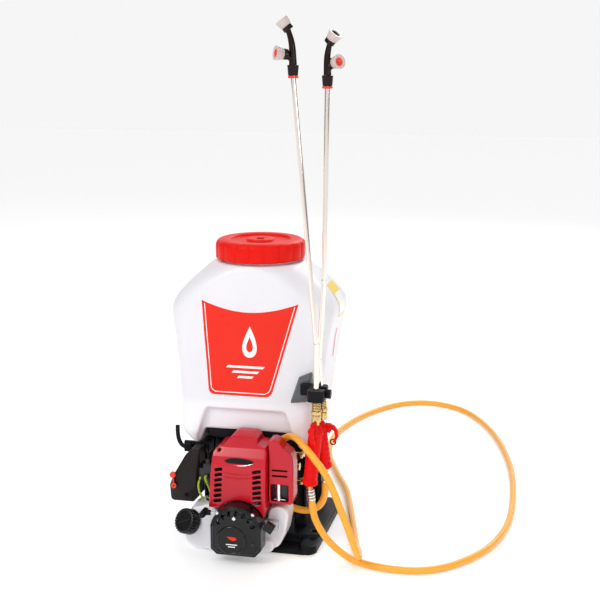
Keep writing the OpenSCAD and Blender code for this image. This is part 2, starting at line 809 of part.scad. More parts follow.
module lance_clip() {
    color(black) difference() {
        union() {
            rounded_plate([134, 166], [-180, -124], clip_z, 8);
            block([112, -136, clip_z[0]], [136, -124.2, clip_z[1]]);
        }
        for (line = [lance_1_line, lance_2_line])
            rod(line[0], line[1], lance_d / 2 + 0.2);
        block([146, -158, clip_z[0] - 1], [168, -145, clip_z[1] + 1]);
    }
}

module clip_knob() {
    color(black) translate([0, clip_knob_at[1], clip_knob_at[2]]) rotate([0, 90, 0]) {
        translate([0, 0, clip_knob_at[0]]) cylinder(h = 9, r = 9, $fn = 12);
        translate([0, 0, 146.4]) cylinder(h = 22, r = 3);
    }
}

// Grip with finger rings, a domed shoulder at the top and a flared foot.
module gun_grip(foot, head) {
    h = norm(head - foot);
    aim(foot, head - foot) rotate_extrude() polygon(concat(
        [[0, 0], [grip_r - 2, 0], [grip_r + 1, 5], [grip_r + 1, 9]],
        [for (k = [1 : 6]) each [[grip_r - 0.6, 5 + 10 * k], [grip_r + 0.3, 8 + 10 * k]]],
        [[grip_r - 0.5, h - 12], [grip_r - 0.5, h], [grip_r - 5, h + 8], [0, h + 8]]
    ));
}

module gun_1() {
    color(gun_red) {
        difference() {
            union() {
                gun_grip(gun_1_foot, gun_1_head);
                block([143.5, -188, 255], [154.5, -175.5, 281]);
            }
            block([145.2, -195, 240], [152.8, -177.8, 285]);
            translate(gun_1_foot - [0, 0, 60]) cylinder(h = 64, r = 5);
        }
        rod([144, lever_1_pivot[1], lever_1_pivot[2]], [154, lever_1_pivot[1], lever_1_pivot[2]], 1.5);
    }
}

module gun_2() {
    color(gun_red) {
        difference() {
            union() {
                gun_grip(gun_2_foot, gun_2_head);
                block([157, -142.5, 252], [173, -131.5, 268.8]);
            }
            block([162.8, -140.8, 240], [190, -133.2, 275]);
            translate(gun_2_foot - [0, 0, 60]) cylinder(h = 64, r = 5);
        }
        rod([lever_2_pivot[0], -142, lever_2_pivot[2]], [lever_2_pivot[0], -132, lever_2_pivot[2]], 1.5);
    }
}

// Trigger lever in its own plane: pivot at the origin, tip hanging down and outwards along +X.
module lever_blade() {
    rotate([90, 0, 0]) translate([0, 0, -3.5]) linear_extrude(7) difference() {
        polygon([
            [-4, 4], [4, 5], [12, 0], [17, -10], [17, -22], [9, -34], [5, -32], [11, -20], [10, -10],
            [4, -5], [-4, -4]
        ]);
        circle(1.5 + fit_gap);
    }
}

module lever_1() {
    color(gun_red) translate(lever_1_pivot) rotate(-90) lever_blade();
}

module lever_2() {
    color(gun_red) translate(lever_2_pivot) rotate([0, lever_2_tilt, 0]) lever_blade();
}

// Brass valve body between grip and lance, and the hose fitting below the grip.
module gun_valve(head, lance_start, foot, tail) {
    color(brass) {
        translate(head + [0, 0, 9.2]) cylinder(h = 6, r = 7.4);
        rod(head + [0, 0, 13], lance_start - [0, 0, 8], 6.6);
        translate(lance_start - [0, 0, 14]) cylinder(h = 13.6, r1 = 9, r2 = 8.2);
    }
    color(steel) aim(tail, foot - tail) {
        cylinder(h = norm(foot - tail) - 0.3, r = 4.8);
        cylinder(h = 7, r = hose_d / 2);
        translate([0, 0, 12]) cylinder(h = 7, r = 6.4);
    }
}

module valve_1() {
    gun_valve(gun_1_head, lance_1_line[0], gun_1_foot, hose_1_route[39]);
}

module valve_2() {
    gun_valve(gun_2_head, lance_2_line[0], gun_2_foot, hose_2_route[14]);
}

module lance_1() {
    color(steel) bent_rod(lance_1_line, lance_d / 2);
}

module lance_2() {
    color(steel) bent_rod(lance_2_line, lance_d / 2);
}

// Curved arm with a nut at the foot, one nozzle seat at the tip and one on a short branch.
module nozzle_arm(foot, tip, side) {
    root = foot + [0, 0, 18];
    mid = (root + tip[0]) / 2 + [tip[0][0] < foot[0] ? 3 : -3, 0, 4];
    color(black) {
        translate(foot) cylinder(h = 19, r1 = 9, r2 = 10.5);
        tube_along(smooth([root, mid, tip[0]], 4), 7.5, 12, 4.6);
        rod(foot + [0, 0, 26], side[0], 4.6);
        for (seat = [tip, side])
            aim(seat[0], aim_of(seat)) {
                translate([0, 0, -5]) cylinder(h = 8, r = nozzle_r);
                cylinder(h = 12, r = 6);
            }
    }
}

function aim_of(seat) = [
    sin(seat[1][0]) * cos(seat[1][1]), sin(seat[1][0]) * sin(seat[1][1]), cos(seat[1][0])
];

module nozzle_arm_1() {
    nozzle_arm(lance_1_line[2], cap_1_top, cap_1_side);
}

module nozzle_arm_2() {
    nozzle_arm(lance_2_line[3], cap_2_top, cap_2_side);
}

// Flared cap that turns on its seat.
module nozzle_cap(seat) {
    color([0.85, 0.84, 0.82]) aim(seat[0], aim_of(seat)) difference() {
        translate([0, 0, 3.3]) cylinder(h = 15, r1 = nozzle_r + 1, r2 = nozzle_r + 3.5);
        translate([0, 0, 3]) cylinder(h = 9.5, r = 6 + fit_gap);
        translate([0, 0, 14]) cylinder(h = 5, r1 = 3, r2 = 9);
        cylinder(h = 30, r = 1);
    }
}

module nozzle_cap_1_top() {
    nozzle_cap(cap_1_top);
}

module nozzle_cap_1_side() {
    nozzle_cap(cap_1_side);
}

module nozzle_cap_2_top() {
    nozzle_cap(cap_2_top);
}

module nozzle_cap_2_side() {
    nozzle_cap(cap_2_side);
}

module hose_1() {
    color(amber) tube_along(smooth(hose_1_route, 2), hose_d / 2, 12);
}

module hose_2() {
    color(amber) tube_along(hose_2_route, hose_d / 2, 12);
}

base_tray();
back_frame();
side_posts();
tank_shelf();
back_pad();
strap_left();
strap_right();
rubber_mounts();
bolts();
tank();
tank_cap();
cap_gasket();
cap_vent_plug();
strainer_basket();
tank_hoses();
holder_pad();
lance_clip();
clip_knob();
crankcase();
cylinder_block();
top_cover();
muffler();
muffler_cover();
recoil_housing();
starter_pulley();
starter_grip();
starter_rope();
flywheel();
carburettor();
air_cleaner_base();
air_cleaner_cover();
choke_lever();
throttle_bracket();
throttle_lever();
throttle_cable();
fuel_tank();
fuel_cap();
fuel_lines();
oil_neck();
oil_plug();
pump_body();
outlet_cocks();
cock_lever_upper();
cock_lever_lower();
gun_1();
lever_1();
valve_1();
lance_1();
nozzle_arm_1();
nozzle_cap_1_top();
nozzle_cap_1_side();
gun_2();
lever_2();
valve_2();
lance_2();
nozzle_arm_2();
nozzle_cap_2_top();
nozzle_cap_2_side();
hose_1();
hose_2();
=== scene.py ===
"""Looks of the engine-driven knapsack sprayer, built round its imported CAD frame.

Lengths in the tables below are in millimetres and are turned into metres by mm().
"""
import json
import math

import bmesh
import bpy
import numpy as np
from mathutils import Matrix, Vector
from mathutils.bvhtree import BVHTree

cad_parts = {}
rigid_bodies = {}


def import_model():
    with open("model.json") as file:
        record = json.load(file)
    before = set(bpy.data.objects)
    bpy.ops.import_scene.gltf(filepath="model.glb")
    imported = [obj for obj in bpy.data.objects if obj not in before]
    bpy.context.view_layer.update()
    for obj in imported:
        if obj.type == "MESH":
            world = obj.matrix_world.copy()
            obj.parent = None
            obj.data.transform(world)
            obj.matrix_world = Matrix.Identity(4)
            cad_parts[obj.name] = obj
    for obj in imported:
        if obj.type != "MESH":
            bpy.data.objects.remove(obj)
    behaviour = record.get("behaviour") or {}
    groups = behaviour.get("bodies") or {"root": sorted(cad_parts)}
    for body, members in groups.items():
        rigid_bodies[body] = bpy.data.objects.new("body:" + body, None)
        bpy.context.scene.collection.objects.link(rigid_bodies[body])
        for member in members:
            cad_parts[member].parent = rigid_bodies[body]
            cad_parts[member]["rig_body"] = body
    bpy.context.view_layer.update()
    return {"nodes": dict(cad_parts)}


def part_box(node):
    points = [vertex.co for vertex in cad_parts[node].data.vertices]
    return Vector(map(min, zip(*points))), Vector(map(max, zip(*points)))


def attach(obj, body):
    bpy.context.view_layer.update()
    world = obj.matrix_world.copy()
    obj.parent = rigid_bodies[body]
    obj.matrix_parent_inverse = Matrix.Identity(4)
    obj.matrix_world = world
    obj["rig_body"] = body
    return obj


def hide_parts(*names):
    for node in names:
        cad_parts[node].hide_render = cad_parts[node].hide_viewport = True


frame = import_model()
scene = bpy.context.scene
NODES = frame["nodes"]
MM = 0.001
FULL_TURN = 6.283  # radians, for the waves of the shaders


def mm(x, y, z):
    """Point in metres from millimetres."""
    return Vector((x, y, z)) * MM


# ---------------------------------------------------------------- camera

CAMERA_AT = (0.629, -2.376, 1.002)
CAMERA_DOWN = 12.14  # degrees below the horizon
CAMERA_TURN = 13     # degrees to the left of +Y


def make_camera():
    """The view that the whole scene is set up for."""
    data = bpy.data.cameras.new("camera")
    data.lens = 75
    data.sensor_width = 36
    camera = bpy.data.objects.new("camera", data)
    camera.location = CAMERA_AT
    camera.rotation_euler = (math.radians(90 - CAMERA_DOWN), 0, math.radians(CAMERA_TURN))
    scene.collection.objects.link(camera)
    scene.camera = camera


make_camera()


# ---------------------------------------------------------------- materials

def add_bump(m, height, strength, distance):
    """Bump on the material's normal from a height socket."""
    nodes, links = m.node_tree.nodes, m.node_tree.links
    bump = nodes.new("ShaderNodeBump")
    bump.inputs["Strength"].default_value = strength
    bump.inputs["Distance"].default_value = distance
    links.new(height, bump.inputs["Height"])
    links.new(bump.outputs["Normal"], nodes["Principled BSDF"].inputs["Normal"])


def add_roughness(m, amount, low, high):
    """Roughness that goes from low to high with a socket's value."""
    nodes, links = m.node_tree.nodes, m.node_tree.links
    level = nodes.new("ShaderNodeMapRange")
    level.inputs["To Min"].default_value = low
    level.inputs["To Max"].default_value = high
    links.new(amount, level.inputs["Value"])
    links.new(level.outputs["Result"], nodes["Principled BSDF"].inputs["Roughness"])


def add_color(m, amount, first, second):
    """Base colour that goes from the first to the second with a socket's value."""
    nodes, links = m.node_tree.nodes, m.node_tree.links
    mix = nodes.new("ShaderNodeMix")
    mix.data_type = "RGBA"
    mix.inputs["A"].default_value = (*first, 1)
    mix.inputs["B"].default_value = (*second, 1)
    links.new(amount, mix.inputs["Factor"])
    links.new(mix.outputs["Result"], nodes["Principled BSDF"].inputs["Base Color"])


def material(name, color, roughness=0.4, metallic=0.0, grain=0.0, grain_scale=700.0, tint=0.12,
             tint_scale=14.0, uneven=0.08, specular=0.5, **sockets):
    """Principled material with a fine moulded grain, uneven gloss and a slight drift of colour."""
    m = bpy.data.materials.new(name)
    m.use_nodes = True
    nodes, links = m.node_tree.nodes, m.node_tree.links
    shader = nodes["Principled BSDF"]
    shader.inputs["Metallic"].default_value = metallic
    shader.inputs["Specular IOR Level"].default_value = specular
    for socket, value in sockets.items():
        shader.inputs[socket.replace("_", " ")].default_value = value
    place = nodes.new("ShaderNodeTexCoord")
    drift = nodes.new("ShaderNodeTexNoise")
    drift.inputs["Scale"].default_value = tint_scale
    drift.inputs["Detail"].default_value = 5
    links.new(place.outputs["Object"], drift.inputs["Vector"])
    amount = drift.outputs["Fac"]
    add_color(m, amount, [c * (1 - tint) for c in color], [min(1, c * (1 + tint)) for c in color])
    add_roughness(m, amount, max(0.02, roughness - uneven), min(1, roughness + uneven))
    if grain:
        fine = nodes.new("ShaderNodeTexNoise")
        fine.inputs["Scale"].default_value = grain_scale
        fine.inputs["Detail"].default_value = 3
        links.new(place.outputs["Object"], fine.inputs["Vector"])
        add_bump(m, fine.outputs["Fac"], grain, 0.0004)
    return m


def lathe_marks(m, axis_scale, strength=0.25):
    """Adds fine turning or brushing lines along the given stretch of the noise."""
    nodes, links = m.node_tree.nodes, m.node_tree.links
    place = nodes.new("ShaderNodeTexCoord")
    stretch = nodes.new("ShaderNodeMapping")
    stretch.inputs["Scale"].default_value = axis_scale
    lines = nodes.new("ShaderNodeTexNoise")
    lines.inputs["Scale"].default_value = 60
    links.new(place.outputs["Object"], stretch.inputs["Vector"])
    links.new(stretch.outputs["Vector"], lines.inputs["Vector"])
    add_bump(m, lines.outputs["Fac"], strength, 0.0002)


def woven(name, color, pitch=1.6, strength=0.7):
    """Webbing or mesh cloth: two crossed wave patterns over the surface."""
    m = material(name, color, roughness=0.85, tint=0.25, tint_scale=30, Sheen_Weight=0.25)
    nodes, links = m.node_tree.nodes, m.node_tree.links
    place = nodes.new("ShaderNodeTexCoord")
    heights = []
    for direction in ("X", "Z"):
        wave = nodes.new("ShaderNodeTexWave")
        wave.bands_direction = direction
        wave.inputs["Scale"].default_value = 1 / (pitch * MM) / FULL_TURN
        wave.inputs["Distortion"].default_value = 0.6
        links.new(place.outputs["Object"], wave.inputs["Vector"])
        heights.append(wave.outputs["Fac"])
    both = nodes.new("ShaderNodeMath")
    both.operation = "MULTIPLY"
    links.new(heights[0], both.inputs[0])
    links.new(heights[1], both.inputs[1])
    add_bump(m, both.outputs["Value"], strength, 0.0005)
    return m


YARNS_ROUND = 6
YARNS_ALONG = 4  # waves in one hose diameter


def braided(name, light, dark):
    """Braid-reinforced hose: crossed yarns under a glossy skin, laid out on the tube's UV map."""
    m = bpy.data.materials.new(name)
    m.use_nodes = True
    nodes, links = m.node_tree.nodes, m.node_tree.links
    shader = nodes["Principled BSDF"]
    shader.inputs["Coat Weight"].default_value = 0.35
    shader.inputs["Coat Roughness"].default_value = 0.12
    shader.inputs["Subsurface Weight"].default_value = 0.15
    shader.inputs["Subsurface Scale"].default_value = 0.004
    uv = nodes.new("ShaderNodeUVMap")
    uv.uv_map = "UVMap"
    split = nodes.new("ShaderNodeSeparateXYZ")
    links.new(uv.outputs["UV"], split.inputs["Vector"])

    def maths(operation, a, b=None):
        """Maths node on numbers or sockets."""
        n = nodes.new("ShaderNodeMath")
        n.operation = operation
        for i, value in enumerate((a, b)):
            if isinstance(value, (int, float)):
                n.inputs[i].default_value = value
            elif value is not None:
                links.new(value, n.inputs[i])
        return n.outputs["Value"]

    round_turn = maths("MULTIPLY", split.outputs["X"], FULL_TURN * YARNS_ROUND)
    along = maths("MULTIPLY", split.outputs["Y"], FULL_TURN * YARNS_ALONG)
    yarn_a = maths("SINE", maths("ADD", round_turn, along))
    yarn_b = maths("SINE", maths("SUBTRACT", round_turn, along))
    weave = maths("MAXIMUM", yarn_a, yarn_b)
    add_color(m, maths("MULTIPLY_ADD", weave, 0.35), dark, light)
    add_roughness(m, weave, 0.42, 0.28)
    add_bump(m, weave, 0.5, 0.0005)
    return m


PLAIN = {
    "red_plastic": ((0.76, 0.010, 0.005), 0.38, dict(grain=0.05, tint=0.05, specular=0.10)),
    "cover_red": ((0.53, 0.003, 0.016), 0.2, dict(grain=0.04, tint=0.1, specular=0.45)),
    "gun_red": ((0.76, 0.004, 0.004), 0.36, dict(grain=0.12, tint=0.06, specular=0.12)),
    "black_plastic": ((0.007, 0.007, 0.009), 0.42, dict(grain=0.35, tint=0.3, specular=0.12)),
    "air_cleaner_black": ((0.012, 0.009, 0.008), 0.46, dict(grain=0.5, tint=0.3, specular=0.22)),
    # Dark metal; on the cylinder block and the muffler this darkness is painted shade, for the shade inside
    # the engine cover.
    "dark_metal_and_painted_shade": ((0.055, 0.055, 0.06), 0.5, dict(metallic=1.0, grain=0.6, grain_scale=420, tint=0.3)),
    "bright_metal": ((0.80, 0.84, 0.90), 0.16, dict(metallic=1.0, tint=0.05)),
    "gloss_black": ((0.005, 0.005, 0.006), 0.2, dict(grain=0.06, tint=0.2, specular=0.34)),
    "nozzle_black": ((0.012, 0.003, 0.003), 0.18, dict(grain=0.05, tint=0.3, specular=0.25)),
    "grey_plastic": ((0.085, 0.095, 0.105), 0.4, dict(grain=0.3)),
    "tank_white": ((0.86, 0.845, 0.89), 0.34,
                   dict(grain=0.10, grain_scale=260, tint=0.025, Subsurface_Weight=0.3,
                        Subsurface_Scale=0.015, Subsurface_Radius=(1, 1, 1))),
    "clear_hose": ((0.72, 0.73, 0.70), 0.18, dict(Transmission_Weight=0.35)),
    "fuel_line": ((0.42, 0.60, 0.02), 0.3, dict(tint=0.1, Transmission_Weight=0.2)),
    "rubber": ((0.009, 0.009, 0.009), 0.7, dict(grain=0.4, specular=0.2)),
    "aluminium": ((0.50, 0.51, 0.53), 0.45, dict(metallic=1.0, grain=0.6, grain_scale=420, tint=0.15)),
    "steel": ((0.88, 0.80, 0.74), 0.1, dict(metallic=1.0, tint=0.05, uneven=0.04)),
    "brass": ((0.70, 0.50, 0.22), 0.25, dict(metallic=1.0, grain=0.12, tint=0.15, tint_scale=60)),
    "orange_red": ((0.80, 0.04, 0.01), 0.35, dict(grain=0.1)),
    "nozzle_cap": ((0.60, 0.50, 0.48), 0.3, dict(grain=0.1, tint=0.08)),
    "label_red": ((0.80, 0.026, 0.012), 0.3, dict(tint=0.05, specular=0.2)),
    "label_white": ((0.88, 0.88, 0.86), 0.3, dict(tint=0.03)),
    "label_yellow": ((0.90, 0.62, 0.03), 0.35, dict(tint=0.05)),
    "thread": ((0.10, 0.10, 0.11), 0.8, dict(grain=0.5, grain_scale=2500)),
}
MATERIALS = {name: material(name, color, gloss, **more) for name, (color, gloss, more) in PLAIN.items()}
MATERIALS["red_plastic"].name = "cap_red"
lathe_marks(MATERIALS["bright_metal"], (30, 30, 1))
lathe_marks(MATERIALS["steel"], (30, 30, 1), 0.04)
MATERIALS["webbing"] = woven("webbing", (0.014, 0.014, 0.016))
MATERIALS["mesh_cloth"] = woven("mesh_cloth", (0.020, 0.020, 0.022), pitch=3.0, strength=1.0)
MATERIALS["rope"] = woven("rope", (0.70, 0.70, 0.66), pitch=1.0)
MATERIALS["hose"] = braided("hose", (1.0, 0.50, 0.018), (0.93, 0.27, 0.003))


# ---------------------------------------------------------------- mesh helpers

def add_object(name, data):
    """New object in the scene."""
    obj = bpy.data.objects.new(name, data)
    scene.collection.objects.link(obj)
    return obj


def new_mesh(name, verts, faces):
    """Mesh from vertices and faces."""
    mesh = bpy.data.meshes.new(name)
    mesh.from_pydata([tuple(v) for v in verts], [], faces)
    return mesh


def link(name, mesh, look, body, replaces=()):
    """New object from a mesh, with its material, body and the CAD nodes that it stands for."""
    mesh.materials.clear()
    mesh.materials.append(MATERIALS[look])
    obj = add_object(name, mesh)
    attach(obj, body)
    if replaces:
        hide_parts(*replaces)
    return obj


def piece(name, verts, faces, look, body, replaces=(), sharp=35):
    """Object from vertices and faces, welded, facing outwards and smooth except at sharp edges."""
    mesh = new_mesh(name, verts, faces)
    tidy(mesh, sharp)
    link(name, mesh, look, body, replaces)


def tidy(mesh, sharp=35, weld=1e-6):
    """Welds the mesh, turns its faces outwards and smooths it except at sharp edges."""
    bm = bmesh.new()
    bm.from_mesh(mesh)
    bmesh.ops.remove_doubles(bm, verts=bm.verts, dist=weld)
    bmesh.ops.recalc_face_normals(bm, faces=bm.faces)
    bm.to_mesh(mesh)
    bm.free()
    shade_smooth(mesh, sharp)


def shade_smooth(mesh, sharp=None):
    """Smooth shading, except at edges sharper than that angle in degrees."""
    mesh.polygons.foreach_set("use_smooth", [True] * len(mesh.polygons))
    if sharp is not None:
        mesh.set_sharp_from_angle(angle=math.radians(sharp))


def band_faces(rows, n, wrap=False):
    """Quads between rows of n points, each row a closed loop; wrap joins the last row to the first."""
    return [(i * n + k, i * n + (k + 1) % n, (i + 1) % rows * n + (k + 1) % n, (i + 1) % rows * n + k)
            for i in range(rows if wrap else rows - 1) for k in range(n)]


def grid_faces(rows, columns):
    """Quads of an open grid of points."""
    return [(i * columns + k, i * columns + k + 1, (i + 1) * columns + k + 1, (i + 1) * columns + k)
            for i in range(rows - 1) for k in range(columns - 1)]


def fan_faces(n):
    """Triangles between vertex 0 and the n points of the outline after it."""
    return [(0, 1 + k, 1 + (k + 1) % n) for k in range(n)]


def plate_faces(n):
    """A fan over the outline, then the wall to the same outline further back."""
    return fan_faces(n) + [(1 + k, 1 + n + k, 1 + n + (k + 1) % n, 1 + (k + 1) % n) for k in range(n)]


def applied(obj):
    """Applies the object's modifiers."""
    bpy.context.view_layer.update()
    depsgraph = bpy.context.evaluated_depsgraph_get()
    mesh = bpy.data.meshes.new_from_object(obj.evaluated_get(depsgraph))
    obj.modifiers.clear()
    obj.data = mesh


def take_mesh(obj):
    """Mesh of a working object, which is removed."""
    mesh = obj.data
    bpy.data.objects.remove(obj)
    return mesh


def remeshed(obj, voxel, passes=0, factor=0.5):
    """Remeshes to voxels of that size in millimetres, then relaxes the surface."""
    remesh = obj.modifiers.new("remesh", "REMESH")
    remesh.mode = "VOXEL"
    remesh.voxel_size = voxel * MM
    if passes:
        relax = obj.modifiers.new("relax", "SMOOTH")
        relax.factor = factor
        relax.iterations = passes
    applied(obj)


def loose_copy(node):
    """Welded copy of a CAD node's mesh, as an object of its own that isn't placed on a body yet."""
    mesh = NODES[node].data.copy()
    tidy(mesh)
    return add_object(node + "_shape", mesh)


def mould(node, look, voxel, passes):
    """Moulded or cast version of a CAD node: its edges and inner corners rounded by a fine remesh."""
    obj = loose_copy(node)
    remeshed(obj, voxel, passes)
    mesh = take_mesh(obj)
    shade_smooth(mesh)
    link(node + "_moulded", mesh, look, NODES[node]["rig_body"], [node])


def soften(node, look, width):
    """Machined version of a CAD node: its sharp edges broken by a small bevel."""
    obj = loose_copy(node)
    flat = obj.modifiers.new("flat", "DECIMATE")
    flat.decimate_type = "DISSOLVE"
    flat.angle_limit = math.radians(1)
    bevel = obj.modifiers.new("bevel", "BEVEL")
    bevel.limit_method = "ANGLE"
    bevel.angle_limit = math.radians(32)
    bevel.width = width * MM
    bevel.segments = 2
    bevel.use_clamp_overlap = True
    applied(obj)
    mesh = take_mesh(obj)
    shade_smooth(mesh, 40)
    link(node + "_finished", mesh, look, NODES[node]["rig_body"], [node])


def turned(name, profile, look, body, at=(0, 0, 0), axis=(0, 0, 1), lobes=0, depth=0.0, power=1.0,
           segments=96, closed=True, replaces=()):
    """Surface of revolution from points in millimetres: (radius, height), or with a share of the lobes."""
    turn = Vector((0, 0, 1)).rotation_difference(Vector(axis).normalized()).to_matrix()
    verts = []
    for radius, height, *share in profile:
        for k in range(segments):
            a = 2 * math.pi * k / segments
            groove = depth * share[0] * (1 - abs(math.cos(lobes * a / 2)) ** power) if share else 0
            r = max(radius - groove, 0)
            verts.append(Vector(at) * MM + turn @ mm(r * math.cos(a), r * math.sin(a), height))
    faces = band_faces(len(profile), segments, wrap=closed)
    piece(name, verts, faces, look, body, replaces)


def curve_point(a, b, c, d, t):
    """Catmull-Rom curve between b and c."""
    return 0.5 * (2 * b + (c - a) * t + (2 * a - 5 * b + 4 * c - d) * t * t
                  + (3 * b - a - 3 * c + d) * t ** 3)


def spline(points, steps):
    """Catmull-Rom curve through the points, with that many steps between each pair."""
    p = [Vector(q) for q in points]
    out = []
    for i in range(len(p) - 1):
        a, b, c, d = p[max(i - 1, 0)], p[i], p[i + 1], p[min(i + 2, len(p) - 1)]
        out += [curve_point(a, b, c, d, k / steps) for k in range(steps)]
    return out + [p[-1]]


def sweep(name, line, section, look, body, up=None, replaces=(), scale=None, sharp=50):
    """Sweeps a closed section, (across, above) points in metres, along a line of points in metres."""
    side = None
    verts, lengths = [], [0.0]
    n = len(section)
    for i, p in enumerate(line):
        tangent = (line[min(i + 1, len(line) - 1)] - line[max(i - 1, 0)]).normalized()
        if up is not None:
            side = Vector(up)
        elif side is None:
            side = tangent.orthogonal()
        side = (side - tangent * side.dot(tangent)).normalized()
        above = tangent.cross(side)
        size = 1.0 if scale is None else scale(i / (len(line) - 1))
        verts += [p + size * (side * a + above * b) for a, b in section]
        if i:
            lengths.append(lengths[-1] + (p - line[i - 1]).length)
    faces = band_faces(len(line), n)
    faces.append(tuple(reversed(range(n))))
    faces.append(tuple(range((len(line) - 1) * n, len(line) * n)))
    mesh = new_mesh(name, verts, faces)
    uv = mesh.uv_layers.new(name="UVMap")
    width = 2 * max(abs(a) for a, b in section)
    for face in mesh.polygons[:-2]:
        i, k = divmod(face.index, n)
        corners = ((i, k), (i, k + 1), (i + 1, k + 1), (i + 1, k))
        for loop, (row, column) in zip(face.loop_indices, corners):
            uv.data[loop].uv = (column / n, lengths[row] / width)
    shade_smooth(mesh, sharp)
    return link(name, mesh, look, body, replaces)


def circle(radius, n=16):
    """Round section."""
    angles = [2 * math.pi * k / n for k in range(n)]
    return [(radius * math.cos(a), radius * math.sin(a)) for a in angles]


def pillow(width, height, n=24, power=3.0):
    """Soft-cornered section, a superellipse of that width and height."""
    out = []
    for k in range(n):
        a = 2 * math.pi * k / n
        c, s = math.cos(a), math.sin(a)
        out.append((math.copysign(abs(c) ** (2 / power), c) * width / 2,
                    math.copysign(abs(s) ** (2 / power), s) * height / 2))
    return out


# ---------------------------------------------------------------- hoses

HOSE_D = 13.5
HOSE_1_ROUTE = [
    (72, -116, 223), (91, -134, 237), (110, -161, 243), (130, -184, 237),
    (151, -195, 219), (182, -206, 182), (214, -221, 118), (226, -225, 90),
    (233, -226, 71), (238, -220, 52), (240, -207, 36), (239, -190, 27),
    (235, -170, 23.5), (229, -142, 18), (219, -106, 10.5), (205, -50, 7.5),
    (169, 94, 7), (140, 200, 7), (98, 305, 7), (54, 430, 7),
    (38, 560, 7), (60, 690, 7), (101, 795, 7), (162, 878, 7),
    (240, 905, 7), (323, 865, 7), (385, 775, 7), (438, 640, 7),
    (480, 460, 7), (500, 280, 7), (502, 100, 7), (478, -30, 7),
    (433, -119, 7), (376, -174, 7), (310, -190, 7.5), (242, -176, 8),
    (206, -166, 17), (172, -166, 46), (149, -166, 84), (142, -166, 121),
]
HOSE_2_ROUTE = [
    (74, -101, 84), (84, -101, 80), (94, -102.5, 77.4), (104, -105, 76.5),
    (114, -109, 77.4), (124, -113, 80), (133, -118, 84.3), (141, -122.5, 90),
    (148, -127, 97), (154, -130.5, 105.5), (158, -133, 115), (161, -135, 124.5),
    (162, -136.5, 134), (162, -137, 142), (162, -137, 150),
]


def make_hose(name, node, route, steps):
    """Braided hose along its whole route, on the machine's body, running to a gun's hose tail."""
    line = spline([mm(*p) for p in route], steps)
    hose = sweep(name, line, circle(HOSE_D / 2 * MM, 20), "hose", "machine", replaces=[node])


make_hose("spray_hose_1", "hose_1", HOSE_1_ROUTE, 12)
make_hose("spray_hose_2", "hose_2", HOSE_2_ROUTE, 4)


# ---------------------------------------------------------------- tank

# Height, half-width, front, back, corner radius.
TANK_SECTIONS = [
    (200, 114, -110, 36, 20), (214, 130, -115, 41, 26), (231, 138, -121, 46, 28), (285, 141, -115, 56, 30),
    (345, 147, -108, 68, 30), (407, 154, -104, 82, 30), (445, 161, -101, 92, 32), (466, 164, -99, 97, 36),
    (482, 161, -98, 100, 44), (505, 146, -97, 98, 54), (530, 122, -96, 96, 66), (550, 101, -94, 94, 80),
    (558, 90, -90, 90, 89),
]
ARCH_Z = 231
TANK_WALL = 3
MOUTH_R = 72
THREAD_R = 76


def tank_section(z):
    """Half-width, front, back and corner radius at a height, between the sections."""
    rows = TANK_SECTIONS
    i = max(k for k in range(len(rows) - 1) if rows[k][0] <= z or k == 0)
    t = min(max((z - rows[i][0]) / (rows[i + 1][0] - rows[i][0]), 0), 1)
    a, b, c, d = (np.array(rows[min(max(i + k, 0), len(rows) - 1)][1:], float) for k in (-1, 0, 1, 2))
    return curve_point(a, b, c, d, t)


def tank_loft(name, inset, z_low, z_high, rings=70, corner=12):
    """Closed loft of rounded rectangles between two heights, moved inwards by inset."""
    verts = []
    for i in range(rings):
        z = z_low + (z_high - z_low) * i / (rings - 1)
        half, front, back, r = tank_section(z)
        half, front, back, r = half - inset, front + inset, back - inset, max(r - inset, 4)
        r = min(r, half - 1, (back - front) / 2 - 1)
        for q in range(4):
            for k in range(corner + 1):
                a = math.radians(90 * q + 90 * k / corner)
                x = (half - r if q in (0, 3) else r - half) + r * math.cos(a)
                y = (back - r if q < 2 else front + r) + r * math.sin(a)
                verts.append(mm(x, y, z))
    n = 4 * (corner + 1)
    caps = [tuple(range(n)), tuple((rings - 1) * n + k for k in range(n))]
    return helper(name, verts, caps + band_faces(rings, n))


def helper(name, verts, faces):
    """Object that only serves a boolean; it is removed afterwards."""
    mesh = new_mesh(name, verts, faces)
    tidy(mesh)
    return add_object(name, mesh)


def prism(name, outline, y_low, y_high):
    """Outline in X and Z, drawn between two depths."""
    n = len(outline)
    verts = [mm(x, y_low, z) for x, z in outline] + [mm(x, y_high, z) for x, z in outline]
    faces = [tuple(range(n)), tuple(range(2 * n - 1, n - 1, -1))]
    faces += [(k, k + n, (k + 1) % n + n, (k + 1) % n) for k in range(n)]
    return helper(name, verts, faces)


def drum(name, radius, z_low, z_high, n=96):
    """Upright cylinder."""
    verts = [mm(x, y, z) for z in (z_low, z_high) for x, y in circle(radius, n)]
    caps = [tuple(range(n - 1, -1, -1)), tuple(range(n, 2 * n))]
    return helper(name, verts, caps + [(k, (k + 1) % n, (k + 1) % n + n, k + n) for k in range(n)])


def cut(obj, tool):
    """Takes the tool's shape out of the object."""
    boolean = obj.modifiers.new("cut", "BOOLEAN")
    boolean.operation = "DIFFERENCE"
    boolean.object = tool
    boolean.solver = "EXACT"
    applied(obj)
    bpy.data.objects.remove(tool)


